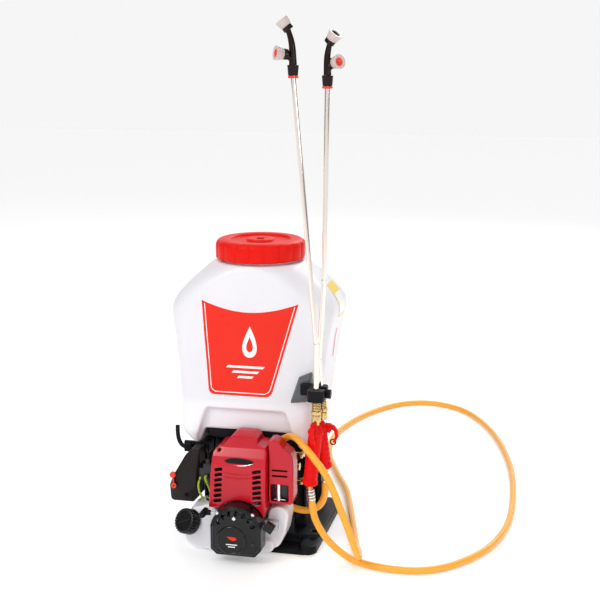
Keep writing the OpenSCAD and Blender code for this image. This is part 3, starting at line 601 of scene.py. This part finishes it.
def make_tank():
    """Blow-moulded shell with its arch and recess, hollow inside, and the threaded neck on it."""
    tank = tank_loft("tank_loft", 0, 200, 558)
    cut(tank, prism("arch", [(-106, 190), (106, 190), (90, ARCH_Z), (-90, ARCH_Z)], -170, 170))
    cut(tank, prism("recess", [(-108, 195), (108, 195), (76, 277), (-83, 277)], -170, -103))
    remeshed(tank, 2.6, passes=14, factor=0.6)
    cut(tank, tank_loft("inside", TANK_WALL, 292, 552, rings=40, corner=8))
    cut(tank, drum("mouth", MOUTH_R, 530, 600))
    mesh = take_mesh(tank)
    shade_smooth(mesh, 50)
    shell = link("tank_shell", mesh, "tank_white", "machine", replaces=["tank"])
    r = THREAD_R
    thread = [(71.5, 552), (71.5, 586), (r - 1, 586), (r, 585)]
    for z in (578, 568):
        thread += [(r, z + 1), (r + 2.3, z - 0.6), (r + 2.3, z - 2.2), (r, z - 4)]
    turned("tank_neck", thread + [(r, 552)], "tank_white", "machine")
    return shell


tank_shell = make_tank()
bpy.context.view_layer.update()
tank_tree = BVHTree.FromPolygons([v.co for v in tank_shell.data.vertices],
                                 [tuple(p.vertices) for p in tank_shell.data.polygons])


def on_front(x, z, lift):
    """Point on the tank's front face, lifted off it."""
    hit = tank_tree.ray_cast(mm(x, -300, z), Vector((0, 1, 0)))
    return hit[0] + hit[1] * (-lift * MM if hit[1].y > 0 else lift * MM)


def on_side(y, z, lift):
    """Point on the tank's right side, lifted off it."""
    hit = tank_tree.ray_cast(mm(300, y, z), Vector((-1, 0, 0)))
    return hit[0] + hit[1] * (-lift * MM if hit[1].x < 0 else lift * MM)


# Label: a tapering panel with a hollow top edge and round lower corners.
LABEL_Z = (305, 490)
LABEL_DIP = 21
LABEL_CORNER = 11
LABEL_INSET = 5.5          # of the white line from the label's edge
UNDER, MIDDLE, OVER = 0.25, 0.45, 0.6  # lifts of the prints off the tank


def label_side(z, side, inset=0.0):
    """Edge of the label at a height: side -1 is its left, 1 its right."""
    t = (z - LABEL_Z[0]) / (LABEL_Z[1] - LABEL_Z[0])
    x = -77 - 17 * t if side < 0 else 48 + 52 * t
    drop = LABEL_CORNER - (z - LABEL_Z[0] - inset)
    if drop > 0:
        r = LABEL_CORNER
        x -= side * (r - math.sqrt(max(r * r - min(drop, r) ** 2, 0)))
    return x - side * inset


def ribbon(name, line, half, lift, look):
    """Thin printed line on the tank's front, along (x, z) points."""
    verts = []
    for i, p in enumerate(line):
        a, b = line[max(i - 1, 0)], line[min(i + 1, len(line) - 1)]
        d = Vector((b[0] - a[0], b[1] - a[1])).normalized()
        for s in (-half, half):
            verts.append(on_front(p[0] - d.y * s, p[1] + d.x * s, lift))
    flat_print(name, verts, grid_faces(len(line), 2), look)


def flat_print(name, verts, faces, look):
    """Thin print on the tank, red or pale."""
    mesh = new_mesh(name, verts, faces)
    shade_smooth(mesh)
    link(name, mesh, look, "machine")


def filled(name, outline, lift, look, rings=5):
    """Filled shape on the tank's front, from its (x, z) outline round its middle."""
    cx = sum(x for x, z in outline) / len(outline)
    cz = sum(z for x, z in outline) / len(outline)
    verts = [on_front(cx, cz, lift)]
    for i in range(1, rings + 1):
        t = i / rings
        verts += [on_front(cx + (x - cx) * t, cz + (z - cz) * t, lift) for x, z in outline]
    n = len(outline)
    faces = fan_faces(n)
    for i in range(rings - 1):
        a, b = 1 + i * n, 1 + (i + 1) * n
        faces += [(a + k, b + k, b + (k + 1) % n, a + (k + 1) % n) for k in range(n)]
    flat_print(name, verts, faces, look)


def drop_outline(cx, cz, width, height, n=40):
    """Plain water drop, point upwards."""
    out = []
    for k in range(n):
        a = 2 * math.pi * k / n
        out.append((cx + width / 2 * math.sin(a) * math.sin(a / 2) ** 1.3, cz + height / 2 * math.cos(a)))
    return out


def box_outline(cx, cz, width, height, slant=0.0, n=8):
    """Slanting bar with n points along each long side."""
    low = [(cx - width / 2 + width * k / (n - 1) - slant, cz - height / 2) for k in range(n)]
    high = [(cx + width / 2 - width * k / (n - 1) + slant, cz + height / 2) for k in range(n)]
    return low + high


def make_label():
    """Red panel with a white line, a plain drop and three plain bars."""
    rows, columns = 41, 31
    verts = []
    for i in range(rows):
        for k in range(columns):
            u = k / (columns - 1)
            top = LABEL_Z[1] - LABEL_DIP * (1 - (2 * u - 1) ** 2)
            v = (i / (rows - 1)) ** 1.4
            z = LABEL_Z[0] + v * (top - LABEL_Z[0])
            x = label_side(z, -1) * (1 - u) + label_side(z, 1) * u
            verts.append(on_front(x, z, UNDER))
    flat_print("label_panel", verts, grid_faces(rows, columns), "label_red")
    low, high = LABEL_Z[0] + LABEL_INSET + 0.3, 484
    left = [(label_side(z, -1, LABEL_INSET), z) for z in np.linspace(high, low, 44)]
    right = [(label_side(z, 1, LABEL_INSET), z) for z in np.linspace(low, high, 44)]
    ribbon("label_line", left + right, 0.8, MIDDLE, "label_white")
    filled("label_drop", drop_outline(4, 412, 40, 62), MIDDLE, "label_white")
    filled("label_drop_inner", drop_outline(4, 407, 18, 30), OVER, "label_red")
    for i, (z, width) in enumerate([(362, 74), (352, 52), (342, 30)]):
        filled("label_bar_%d" % i, box_outline(-4, z, width, 4.5, 2), MIDDLE, "label_white")


def make_side_stickers():
    """Plain coloured rectangles on the tank's right side."""
    def patch(name, y, z, width, height, lift, look):
        """One rectangle round (y, z)."""
        verts = [on_side(y - width / 2 + width * k / 8, z - height / 2 + height * i / 8, lift)
                 for i in range(9) for k in range(9)]
        flat_print(name, verts, grid_faces(9, 9), look)
    patch("side_sticker_edge", 8, 482, 56, 64, UNDER, "label_yellow")
    patch("side_sticker", 8, 475, 49, 42, 0.5, "label_white")
    patch("side_stripe", -10, 398, 8, 58, UNDER, "label_red")


make_label()
make_side_stickers()


# ---------------------------------------------------------------- caps

def make_tank_cap():
    """Fluted screw cap with a ring groove and the hole of its vent plug."""
    profile = [
        (85.5, 562, 0.7), (88.4, 562.8, 1), (89.4, 565, 1), (89.4, 588, 1), (88.8, 592, 0.9),
        (87, 595.6, 0.6), (84, 598, 0.3), (80.5, 599.5, 0.1), (77, 600), (63, 600), (61, 599.5),
        (59.8, 598.2),
        (58.6, 596), (56, 595.2), (32, 595.2), (29.6, 595.6), (28.4, 597), (27.2, 599.2),
        (25.5, 599.9), (7, 599.9), (6.15, 599.4), (6.1, 592.2), (79, 592), (80.2, 591),
        (80.2, 563), (81, 562),
    ]
    turned("tank_cap_shell", profile, "red_plastic", "cap", lobes=18, depth=2.6, power=0.5, segments=360,
           replaces=["tank_cap"])


def make_fuel_cap():
    """Fluted cap on the sloping filler, with a bar to grip it by."""
    at, axis = (-96, -160, 52), (-0.42, -0.80, 0.43)
    profile = [
        (20, 10.2), (24, 10, 0.6), (25, 11, 1), (25, 30, 1), (24.2, 32.4, 0.8), (22, 33.7, 0.3),
        (19.5, 34), (18.6, 33), (17.6, 31), (0.01, 31),
    ]
    turned("fuel_cap_shell", profile, "gloss_black", "fuel_cap", at, axis, lobes=26, depth=2.2, power=0.7,
           segments=208, closed=False, replaces=["fuel_cap"])
    turn = Vector((0, 0, 1)).rotation_difference(Vector(axis)).to_matrix()
    line = [mm(*at) + turn @ mm(x, 0, 32.2) for x in np.linspace(-17, 17, 14)]
    sweep("fuel_cap_bar", line, pillow(0.005, 0.0034), "gloss_black", "fuel_cap", up=turn @ Vector((0, 1, 0)),
          scale=lambda t: 1 - 0.25 * (2 * t - 1) ** 6)


make_tank_cap()
make_fuel_cap()


# ---------------------------------------------------------------- moulded, cast and machined parts

for node, look, voxel, passes in [
    ("top_cover", "cover_red", 1.1, 14), ("muffler_cover", "cover_red", 1.1, 12),
    ("recoil_housing", "gloss_black", 1.1, 5), ("air_cleaner_cover", "air_cleaner_black", 1.5, 10),
    ("air_cleaner_base", "air_cleaner_black", 1.2, 5),
    ("fuel_tank", "tank_white", 1.5, 16), ("holder_pad", "grey_plastic", 1.3, 14),
    ("gun_1", "gun_red", 0.7, 2), ("gun_2", "gun_red", 0.7, 2), ("lever_1", "gun_red", 0.5, 5),
    ("lever_2", "gun_red", 0.5, 5), ("nozzle_arm_1", "nozzle_black", 0.7, 7),
    ("nozzle_arm_2", "nozzle_black", 0.7, 7), ("starter_grip", "black_plastic", 0.7, 5),
    ("throttle_lever", "black_plastic", 0.6, 5), ("base_tray", "black_plastic", 2.0, 8),
    ("back_frame", "black_plastic", 2.0, 6), ("tank_shelf", "black_plastic", 2.0, 5),
    ("side_posts", "black_plastic", 1.8, 5), ("lance_clip", "black_plastic", 0.9, 6),
    ("oil_plug", "gloss_black", 0.6, 6), ("crankcase", "aluminium", 1.6, 6),
    ("pump_body", "aluminium", 1.8, 6), ("carburettor", "dark_metal_and_painted_shade", 0.8, 5),
    ("throttle_bracket", "black_plastic", 1.0, 5), ("choke_lever", "orange_red", 0.5, 4),
    ("outlet_cocks", "brass", 0.8, 4), ("cock_lever_upper", "brass", 0.5, 4),
    ("cock_lever_lower", "brass", 0.5, 4), ("oil_neck", "aluminium", 0.7, 4),
]:
    mould(node, look, voxel, passes)

# The cylinder block and the muffler take the dark metal as painted shade, darker than their own cast finish,
# for the shade inside the cover.
for node, look, width in [
    ("cylinder_block", "dark_metal_and_painted_shade", 0.4), ("muffler", "dark_metal_and_painted_shade", 1.2),
    ("clip_knob", "black_plastic", 0.6), ("starter_pulley", "grey_plastic", 0.5), ("flywheel", "steel", 0.5),
    ("valve_1", "brass", 0.5),
    ("valve_2", "brass", 0.5), ("bolts", "dark_metal_and_painted_shade", 0.4), ("strainer_basket", "black_plastic", 0.4),
]:
    soften(node, look, width)


def dress(node, look):
    """Gives a CAD node that stays as it is its finished material."""
    data = NODES[node].data
    data.materials.clear()
    data.materials.append(MATERIALS[look])


for node, look in [
    ("cap_gasket", "rubber"), ("cap_vent_plug", "red_plastic"), ("tank_hoses", "clear_hose"),
    ("rubber_mounts", "rubber"), ("starter_rope", "rope"), ("throttle_cable", "rubber"),
    ("lance_1", "steel"), ("lance_2", "steel"), ("fuel_lines", "fuel_line"),
]:
    dress(node, look)


# ---------------------------------------------------------------- nozzles

NOZZLES = {
    "nozzle_cap_1_top": ("nozzle_1_top", (96, -166, 1008), (-38, 10)),
    "nozzle_cap_1_side": ("nozzle_1_side", (92, -172, 962), (-82, 35)),
    "nozzle_cap_2_top": ("nozzle_2_top", (168, -137, 985), (40, -20)),
    "nozzle_cap_2_side": ("nozzle_2_side", (175, -143, 946), (80, -40)),
}


def aim(tilt, turn):
    """Direction at a tilt from vertical, turned round the vertical, in degrees."""
    a, b = math.radians(tilt), math.radians(turn)
    return Vector((math.sin(a) * math.cos(b), math.sin(a) * math.sin(b), math.cos(a)))


def make_nozzle_cap(node):
    """Fluted nozzle cap and the disc in its mouth."""
    body, at, turns = NOZZLES[node]
    profile = [
        (6.2, 3.4), (9.8, 3.3, 0.4), (10.8, 4.2, 1), (12.4, 12, 1), (13.2, 16, 0.6), (13.3, 17.6),
        (12.5, 18.2), (9.4, 18.2), (8.6, 17.4), (4.4, 14.6), (1.4, 14),
        (1.1, 12.6), (6.2, 12.4),
    ]
    turned(node + "_shell", profile, "nozzle_cap", body, at, aim(*turns), lobes=14, depth=0.9, power=0.6,
           segments=112, replaces=[node])
    insert = [(1.2, 14.4), (4.2, 15), (7.6, 17), (7.9, 16.6), (4.4, 14.5), (1.2, 13.9)]
    turned(node + "_disc", insert, "orange_red" if "side" in node else "gloss_black", body, at, aim(*turns),
           segments=48)


for node in NOZZLES:
    make_nozzle_cap(node)


def make_collar(name, at):
    """Fluted ring on a lance."""
    profile = [(5.2, 0), (8.6, 0), (9.6, 0.8, 1), (9.8, 3.2, 1), (9, 4, 0.5), (5.2, 4)]
    turned(name, profile, "orange_red", "machine", at, lobes=12, depth=0.8, segments=72)


make_collar("lance_collar_1", (106.4, -166, 919.6))
make_collar("lance_collar_2", (162.9, -137, 900.6))


# ---------------------------------------------------------------- engine details

def flat_shape(name, outline, y, look, thick=0.5):
    """Thin raised shape facing the engine side, from its (x, z) outline round its middle."""
    n = len(outline)
    middle = (sum(x for x, z in outline) / n, sum(z for x, z in outline) / n)
    verts = [mm(middle[0], y, middle[1])] + [mm(x, y, z) for x, z in outline]
    verts += [mm(x, y + thick, z) for x, z in outline]
    piece(name, verts, plate_faces(n), look, "machine")


def make_badge():
    """Plain raised disc on the starter housing, with a rim and a generic drop lying on its side."""
    at, axis = (-2, -223, 50), (0, -1, 0)
    profile = [(0.01, 2.2), (23, 2.1), (24, 2.3), (25.4, 3.6), (27.4, 3.8), (28.8, 3.0),
               (29.4, 1.8), (29.4, 0)]
    turned("starter_badge", profile, "gloss_black", "machine", at, axis, closed=False)
    cx, cz = -2, 55
    drop = [(cx + (x - cx) * 0.5 - (z - cz) * 0.9, cz + (x - cx) * 0.55 + (z - cz) * 0.25)
            for x, z in drop_outline(cx, cz, 16, 20)]
    flat_shape("badge_drop", drop, -225.7, "label_red")
    for i, (z, width) in enumerate([(42, 22), (37.5, 14)]):
        flat_shape("badge_bar_%d" % i, box_outline(-2, z, width, 1.8, 0.6), -225.6, "label_white")
    for name, radius, y, start, end in [("starter_ridge_inner", 45.5, -222.2, 12, 168),
                                        ("starter_ridge_outer", 49.0, -219.8, 8, 172)]:
        line = [mm(4 + radius * math.cos(math.radians(a)), y, 67 + radius * math.sin(math.radians(a)))
                for a in np.linspace(start, end, 60)]
        sweep(name, line, circle(0.0011, 10), "gloss_black", "machine")


def make_cover_trim():
    """Dark insert in the curved slot of the engine cover, a thin bright metal strip along its lower edge that
    is a painted highlight, and the two raised ribs under it.
    """
    slot_y = -188.3
    slot = [(-26, 196), (-14, 190.8), (2, 188.8), (20, 190.8), (33, 197), (22, 201.4),
            (2, 203.4), (-16, 201.4)]
    outline = spline([(x, slot_y, z) for x, z in slot + slot[:1]], 5)[:-1]
    verts = [mm(2, slot_y, 196)] + [p * MM for p in outline]
    verts += [p * MM + mm(0, 0.8, 0) for p in outline]
    piece("cover_slot_insert", verts, plate_faces(len(outline)), "rubber", "machine")
    # Painted highlight: a thin bright metal strip along the slot's lower edge stands for the white highlight
    # on the glossy cover there.
    highlight_line = [mm(x, -189.2, 188.6 + 6.5 * ((x - 2) / 31) ** 2) for x in np.linspace(-6, 34, 24)]
    sweep("cover_slot_painted_highlight", highlight_line, circle(0.0011, 12), "bright_metal", "machine",
          scale=lambda t: max(0.1, math.sin(math.pi * t ** 1.4)))
    for name, low, rise in (("cover_rib_upper", 171, 5.0), ("cover_rib_lower", 163, 3.0)):
        line = [mm(x, -189.6, low + rise * (x / 36) ** 2) for x in np.linspace(-34, 36, 30)]
        sweep(name, line, pillow(0.0042, 0.0022), "cover_red", "machine", up=(0, -1, 0),
              scale=lambda t: max(0.15, 1 - abs(2 * t - 1) ** 4))


def make_spark_lead():
    """High-tension lead over the top of the engine."""
    line = spline([mm(4, -140, 216), mm(2, -146, 224), mm(-8, -150, 226), mm(-24, -146, 218),
                   mm(-34, -138, 200)], 8)
    sweep("spark_plug_lead", line, circle(0.0032, 12), "rubber", "machine")


def make_window_details():
    """Bright pipe and clip seen through the window of the muffler's cover."""
    rod = [mm(76, -163.5, z) for z in np.linspace(116, 149, 12)]
    sweep("muffler_pipe", rod, circle(0.0046, 20), "bright_metal", "machine")
    clip = [mm(x, -164.5, 117.5) for x in np.linspace(68, 90, 8)]
    sweep("muffler_clip", clip, pillow(0.0018, 0.0022, 12, 4), "bright_metal", "machine")


SCREWS = [(3, -224.6, 95), (-31, -219.2, 101), (38, -219.2, 103), (-37, -219.4, 36), (40, -219.4, 36)]


def make_screws():
    """Pan-head screws of the starter housing and the engine cover."""
    profile = [(0.01, 2.2), (2.2, 2.0), (3.4, 1.2), (3.8, 0)]
    for i, (x, y, z) in enumerate(SCREWS):
        turned("screw_%d" % i, profile, "bright_metal", "machine", (x, y, z), (0, -1, 0), segments=24,
               closed=False)


def make_painted_shade_sheets():
    """Dark flat sheets behind the vent slots, painted shade for the dark inside of the engine cover."""
    # Painted shade: flat dark sheets stand in for the shade seen through the vent slots.
    for name, x_low, x_high in (("painted_shade_sheet_left", -53, -34), ("painted_shade_sheet_right", 40, 54)):
        outline = [(x_low, 104), (x_high, 104), (x_high, 188), (x_low, 188)]
        flat_shape(name, outline, -181, "rubber", 2)


def coil(name, foot, top, radius, wire, turns, look):
    """Helical spring round a line between two points."""
    foot, top = Vector(foot), Vector(top)
    turn = Vector((0, 0, 1)).rotation_difference(top - foot).to_matrix()
    line = []
    steps = 18  # in one turn
    for k in range(turns * steps + 1):
        a = 2 * math.pi * k / steps
        rise = (top - foot).length * k / (turns * steps)
        line.append((foot + turn @ Vector((radius * math.cos(a), radius * math.sin(a), rise))) * MM)
    sweep(name, line, circle(wire * MM, 8), look, "machine")


# Number, hose tail, foot and head of the grip, and the start and end of the straight tube over it.
GRIP_R = 13.5
GUNS = [
    (1, (142, -166, 121), (138, -166, 153), (149.5, -166, 265), (150, -166, 294), (150, -166, 431)),
    (2, (162, -137, 150), (161, -137, 178), (150, -137, 266), (157, -137, 292), (149, -137, 394)),
]


def make_gun_fittings():
    """Springs and nuts over the grips, collars on them, and ringed hose fittings under them."""
    nut = [(5.6, 0), (8.6, 0), (9.6, 0.8, 1), (9.6, 6.2, 1), (8.6, 7), (5.6, 7)]
    collar = [(10, 0), (GRIP_R + 0.9, 0), (GRIP_R + 1.5, 0.7), (GRIP_R + 1.5, 5.3),
              (GRIP_R + 0.7, 6.2), (10, 6.4)]
    ring = [(5, 0), (7.2, 0), (7.8, 0.6), (7.8, 2.6), (7.2, 3.2), (5, 3.2)]
    for i, tail, foot, head, start, end in GUNS:
        tail, foot, head, start, end = Vector(tail), Vector(foot), Vector(head), Vector(start), Vector(end)
        up = (end - start).normalized()
        grip = (head - foot).normalized()
        turned("gun_%d_nut" % i, nut, "brass", "machine", start + up * 0.5, up, lobes=6,
               depth=1.2, segments=96)
        coil("gun_%d_spring" % i, start + up * 8, start + up * 27, 7.4, 1.3, 6, "brass")
        turned("gun_%d_spring_stop" % i, ring, "brass", "machine", start + up * 27.5, up, segments=48)
        turned("gun_%d_collar" % i, collar, "gun_red", "machine", head - grip * 9, grip, segments=64)
        turned("gun_%d_rim" % i, collar, "gun_red", "machine", foot + grip * 3, grip, segments=64)
        down = (foot - tail).normalized()
        for k in (2, 8, 14, 20):
            turned("gun_%d_fitting_%d" % (i, k), ring, "bright_metal", "machine", tail + down * k, down,
                   segments=48)


def make_lock_ring():
    """Small black ring that holds gun 2's lever, at the lever's tip."""
    low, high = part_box("lever_2")
    centre = Vector((high.x - 0.0105, (low.y + high.y) / 2, low.z + 0.0015))
    r = 0.0052
    line = [centre + Vector((r * math.cos(a), 0, r * math.sin(a))) for a in np.linspace(0, 2 * math.pi, 33)]
    sweep("gun_2_lock_ring", line, circle(0.0013, 8), "rubber", "trigger_2")


def make_grommet():
    """Black grommet where the fuel line goes into the tank."""
    profile = [(3.0, 0), (9.0, 0), (9.6, 1.2), (9.2, 4.6), (7.4, 5.4),
               (6.6, 8.6), (3.0, 9.4)]
    turned("fuel_grommet", profile, "rubber", "machine", (-66.5, -145, 98), segments=40)


make_badge()
make_cover_trim()
make_window_details()
make_screws()
make_painted_shade_sheets()
make_gun_fittings()
make_lock_ring()
make_grommet()
make_spark_lead()


# ---------------------------------------------------------------- back cushion and straps

def back_pad_form():
    """Slightly undersized block of the cushion, which the cloth then fills."""
    low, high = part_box("back_pad")
    n = 48
    rows = []
    for i, (depth, grow) in enumerate([(0.0, 0.90), (0.35, 0.93), (0.72, 0.86)]):
        y = low.y + (high.y - low.y) * depth
        outline = pillow((high.x - low.x) * grow, (high.z - low.z) * grow, n, 5)
        rows.append([Vector(((low.x + high.x) / 2 + a, y, (low.z + high.z) / 2 + b)) for a, b in outline])
    verts = [v for row in rows for v in row]
    caps = [tuple(range(n)), tuple(2 * n + k for k in range(n))]
    return helper("pad_form", verts, caps + band_faces(len(rows), n)), low, high


PAD_PRESSURE = 4
PAD_FRAMES = 20
PAD_SWELL = 5 * MM
PAD_SEAM_X = (-0.034, 0.034)
PAD_SEAM_Z = (0.236, 0.300, 0.364)
SEAM_WIDTH = 0.0032
SEAM_DEPTH = 0.006


def inflate(obj, frames, cap):
    """Cloth with inner pressure; no point moves further than cap from where it was."""
    before = np.array([v.co for v in obj.data.vertices])
    cloth = obj.modifiers.new("cloth", "CLOTH")
    cloth.settings.use_pressure = True
    cloth.settings.uniform_pressure_force = PAD_PRESSURE
    cloth.settings.effector_weights.gravity = 0
    for f in range(1, frames + 1):
        scene.frame_set(f)
    depsgraph = bpy.context.evaluated_depsgraph_get()
    shape = obj.evaluated_get(depsgraph).to_mesh()
    after = np.array([v.co for v in shape.vertices])
    obj.modifiers.clear()
    scene.frame_set(1)
    move = after - before
    size = np.linalg.norm(move, axis=1, keepdims=True)
    move *= np.minimum(1, cap / np.maximum(size, 1e-9))
    for v, p in zip(obj.data.vertices, before + move):
        v.co = p


def make_back_pad():
    """Cushion that the cloth fills, with its sewn channels, and the piping round its edge."""
    pad, low, high = back_pad_form()
    remeshed(pad, 5)
    inflate(pad, PAD_FRAMES, PAD_SWELL)
    divide = pad.modifiers.new("divide", "SUBSURF")
    divide.levels = divide.render_levels = 1
    applied(pad)
    for v in pad.data.vertices:
        if v.co.y < low.y + 0.009:
            v.co.y = max(v.co.y, low.y + 0.0002)
            continue
        off = [v.co.x - x for x in PAD_SEAM_X] + [v.co.z - z for z in PAD_SEAM_Z]
        dip = max(math.exp(-(d / SEAM_WIDTH) ** 2) for d in off)
        v.co.y = min(v.co.y - SEAM_DEPTH * dip, high.y + 0.004)
    mesh = take_mesh(pad)
    shade_smooth(mesh)
    cushion = link("back_cushion", mesh, "mesh_cloth", "machine", replaces=["back_pad"])
    centre = (low + high) / 2
    edge = pillow((high.x - low.x) * 0.96, (high.z - low.z) * 0.96, 120, 5)
    line = [Vector((centre.x + a, low.y + 0.008, centre.z + b)) for a, b in edge]
    sweep("cushion_piping", line + line[:1], circle(0.0022, 8), "webbing", "machine")


STRAP_LINE = [(111, 484), (122, 489), (150, 489), (180, 474), (205, 440), (217, 395), (221, 348),
              (216, 300), (205, 255), (190, 212), (170, 168), (145, 127), (126, 104), (111, 91)]
STRAP_X = 58
PAD_SHARE = 0.70  # of the strap's line, from the top


def make_strap(side, node):
    """Padded strap, its webbing at both ends, its stitching and its buckle."""
    name = "strap_right" if side < 0 else "strap_left"
    line = spline([mm(side * STRAP_X, y, z) for y, z in STRAP_LINE], 8)
    pad_end = int(len(line) * PAD_SHARE)
    pad = sweep(name + "_pad", line[2:pad_end], pillow(0.043, 0.011, 28, 4), "mesh_cloth", "machine",
                up=(1, 0, 0), replaces=[node],
                scale=lambda t: min(1, 0.72 + 3 * min(t, 1 - t)))
    sweep(name + "_web", line[pad_end - 10:], pillow(0.025, 0.0022, 20, 8), "webbing", "machine",
          up=(1, 0, 0))
    sweep(name + "_top_web", line[:6], pillow(0.030, 0.0030, 20, 8), "webbing", "machine",
          up=(1, 0, 0))
    stitches(name + "_stitches", line[6:pad_end - 6], 0.0175, 0.0046)
    make_buckle(name + "_buckle", line[pad_end + 4], line[pad_end + 8] - line[pad_end])


def stitches(name, line, across, above):
    """Two rows of short raised stitches along both faces of a strap, all in one mesh."""
    shape = ((-1, -1, 0), (1, -1, 0), (1, 1, 0), (-1, 1, 0), (-0.6, 0, 1), (0.6, 0, 1))
    verts, faces = [], []
    dash, gap = 0.0032, 0.0018
    travelled = 0.0
    for a, b in zip(line, line[1:]):
        d = (b - a).normalized()
        normal = d.cross(Vector((1, 0, 0)))
        travelled += (b - a).length
        while travelled > 0:
            travelled -= dash + gap
            p = b - d * max(travelled, 0)
            for s in (-1, 1):
                for face in (-1, 1):
                    centre = p + Vector((s * across, 0, 0)) + normal * face * above
                    base = len(verts)
                    for u, v, w in shape:
                        verts.append(centre + d * u * dash / 2 + Vector((v * 0.0005, 0, 0))
                                     + normal * face * w * 0.0006)
                    faces += [(base, base + 1, base + 5, base + 4), (base + 3, base + 4, base + 5, base + 2),
                              (base, base + 4, base + 3), (base + 1, base + 2, base + 5),
                              (base, base + 3, base + 2, base + 1)]
    piece(name, verts, faces, "thread", "machine")


def make_buckle(name, at, direction):
    """Ladder-lock buckle: a frame with a middle bar, lying across the webbing."""
    d = direction.normalized()
    side = Vector((1, 0, 0))
    out = d.cross(side).normalized()

    def bar(a, b):
        """Points from a to b, each (across, along) the strap."""
        p = [at + side * u + d * v + out * 0.002 for u, v in (a, b)]
        return [p[0].lerp(p[1], t) for t in np.linspace(0, 1, 6)]
    corners = [(-0.018, -0.014), (0.018, -0.014), (0.018, 0.014), (-0.018, 0.014)]
    ring = []
    for a, b in zip(corners, corners[1:] + corners[:1]):
        ring += bar(a, b)[:-1]
    sweep(name, ring + ring[:1], pillow(0.0055, 0.0038, 16, 4), "black_plastic", "machine", up=out)
    sweep(name + "_bar", bar((-0.017, 0.001), (0.017, 0.001)), pillow(0.0050, 0.0034, 16, 4), "black_plastic",
          "machine", up=out)


make_back_pad()
make_strap(1, "strap_left")
make_strap(-1, "strap_right")


# ---------------------------------------------------------------- studio

def make_studio():
    """Pale floor, white world that is darker to the sides, and three soft lights."""
    floor = new_mesh("floor", [(-8, -8, 0), (8, -8, 0), (8, 10, 0), (-8, 10, 0)], [(0, 1, 2, 3)])
    look = material("floor", (0.93, 0.93, 0.93), 0.7, tint=0.01, tint_scale=2, Emission_Color=(1, 1, 1, 1),
                    Emission_Strength=0.2)
    floor.materials.append(look)
    add_object("floor", floor)
    world = bpy.data.worlds.new("studio")
    world.use_nodes = True
    nodes, links = world.node_tree.nodes, world.node_tree.links
    background = nodes["Background"]
    background.inputs["Color"].default_value = (1, 1, 1, 1)
    place = nodes.new("ShaderNodeTexCoord")
    split = nodes.new("ShaderNodeSeparateXYZ")
    links.new(place.outputs["Generated"], split.inputs["Vector"])
    side = nodes.new("ShaderNodeMath")
    side.operation = "ABSOLUTE"
    links.new(split.outputs["X"], side.inputs[0])
    level = nodes.new("ShaderNodeMapRange")
    for socket, value in (("From Min", 0.45), ("From Max", 0.85), ("To Min", 0.92), ("To Max", 0.30)):
        level.inputs[socket].default_value = value
    links.new(side.outputs["Value"], level.inputs["Value"])
    links.new(level.outputs["Result"], background.inputs["Strength"])
    scene.world = world
    scene.view_settings.view_transform = "Standard"
    for name, place, aim_at, size, power in [
        ("key", (-1.5, -2.2, 2.6), (0, 0, 0.35), 1.2, 34),
        ("fill", (2.6, -1.6, 1.2), (0.1, 0, 0.4), 0.9, 14),
        ("back", (0.6, 2.8, 2.4), (0.1, 0, 0.3), 1.6, 40),
    ]:
        data = bpy.data.lights.new(name, "AREA")
        data.size = size
        data.energy = power
        light = add_object(name, data)
        light.location = place
        light.rotation_euler = (Vector(aim_at) - Vector(place)).to_track_quat("-Z", "Y").to_euler()


make_studio()
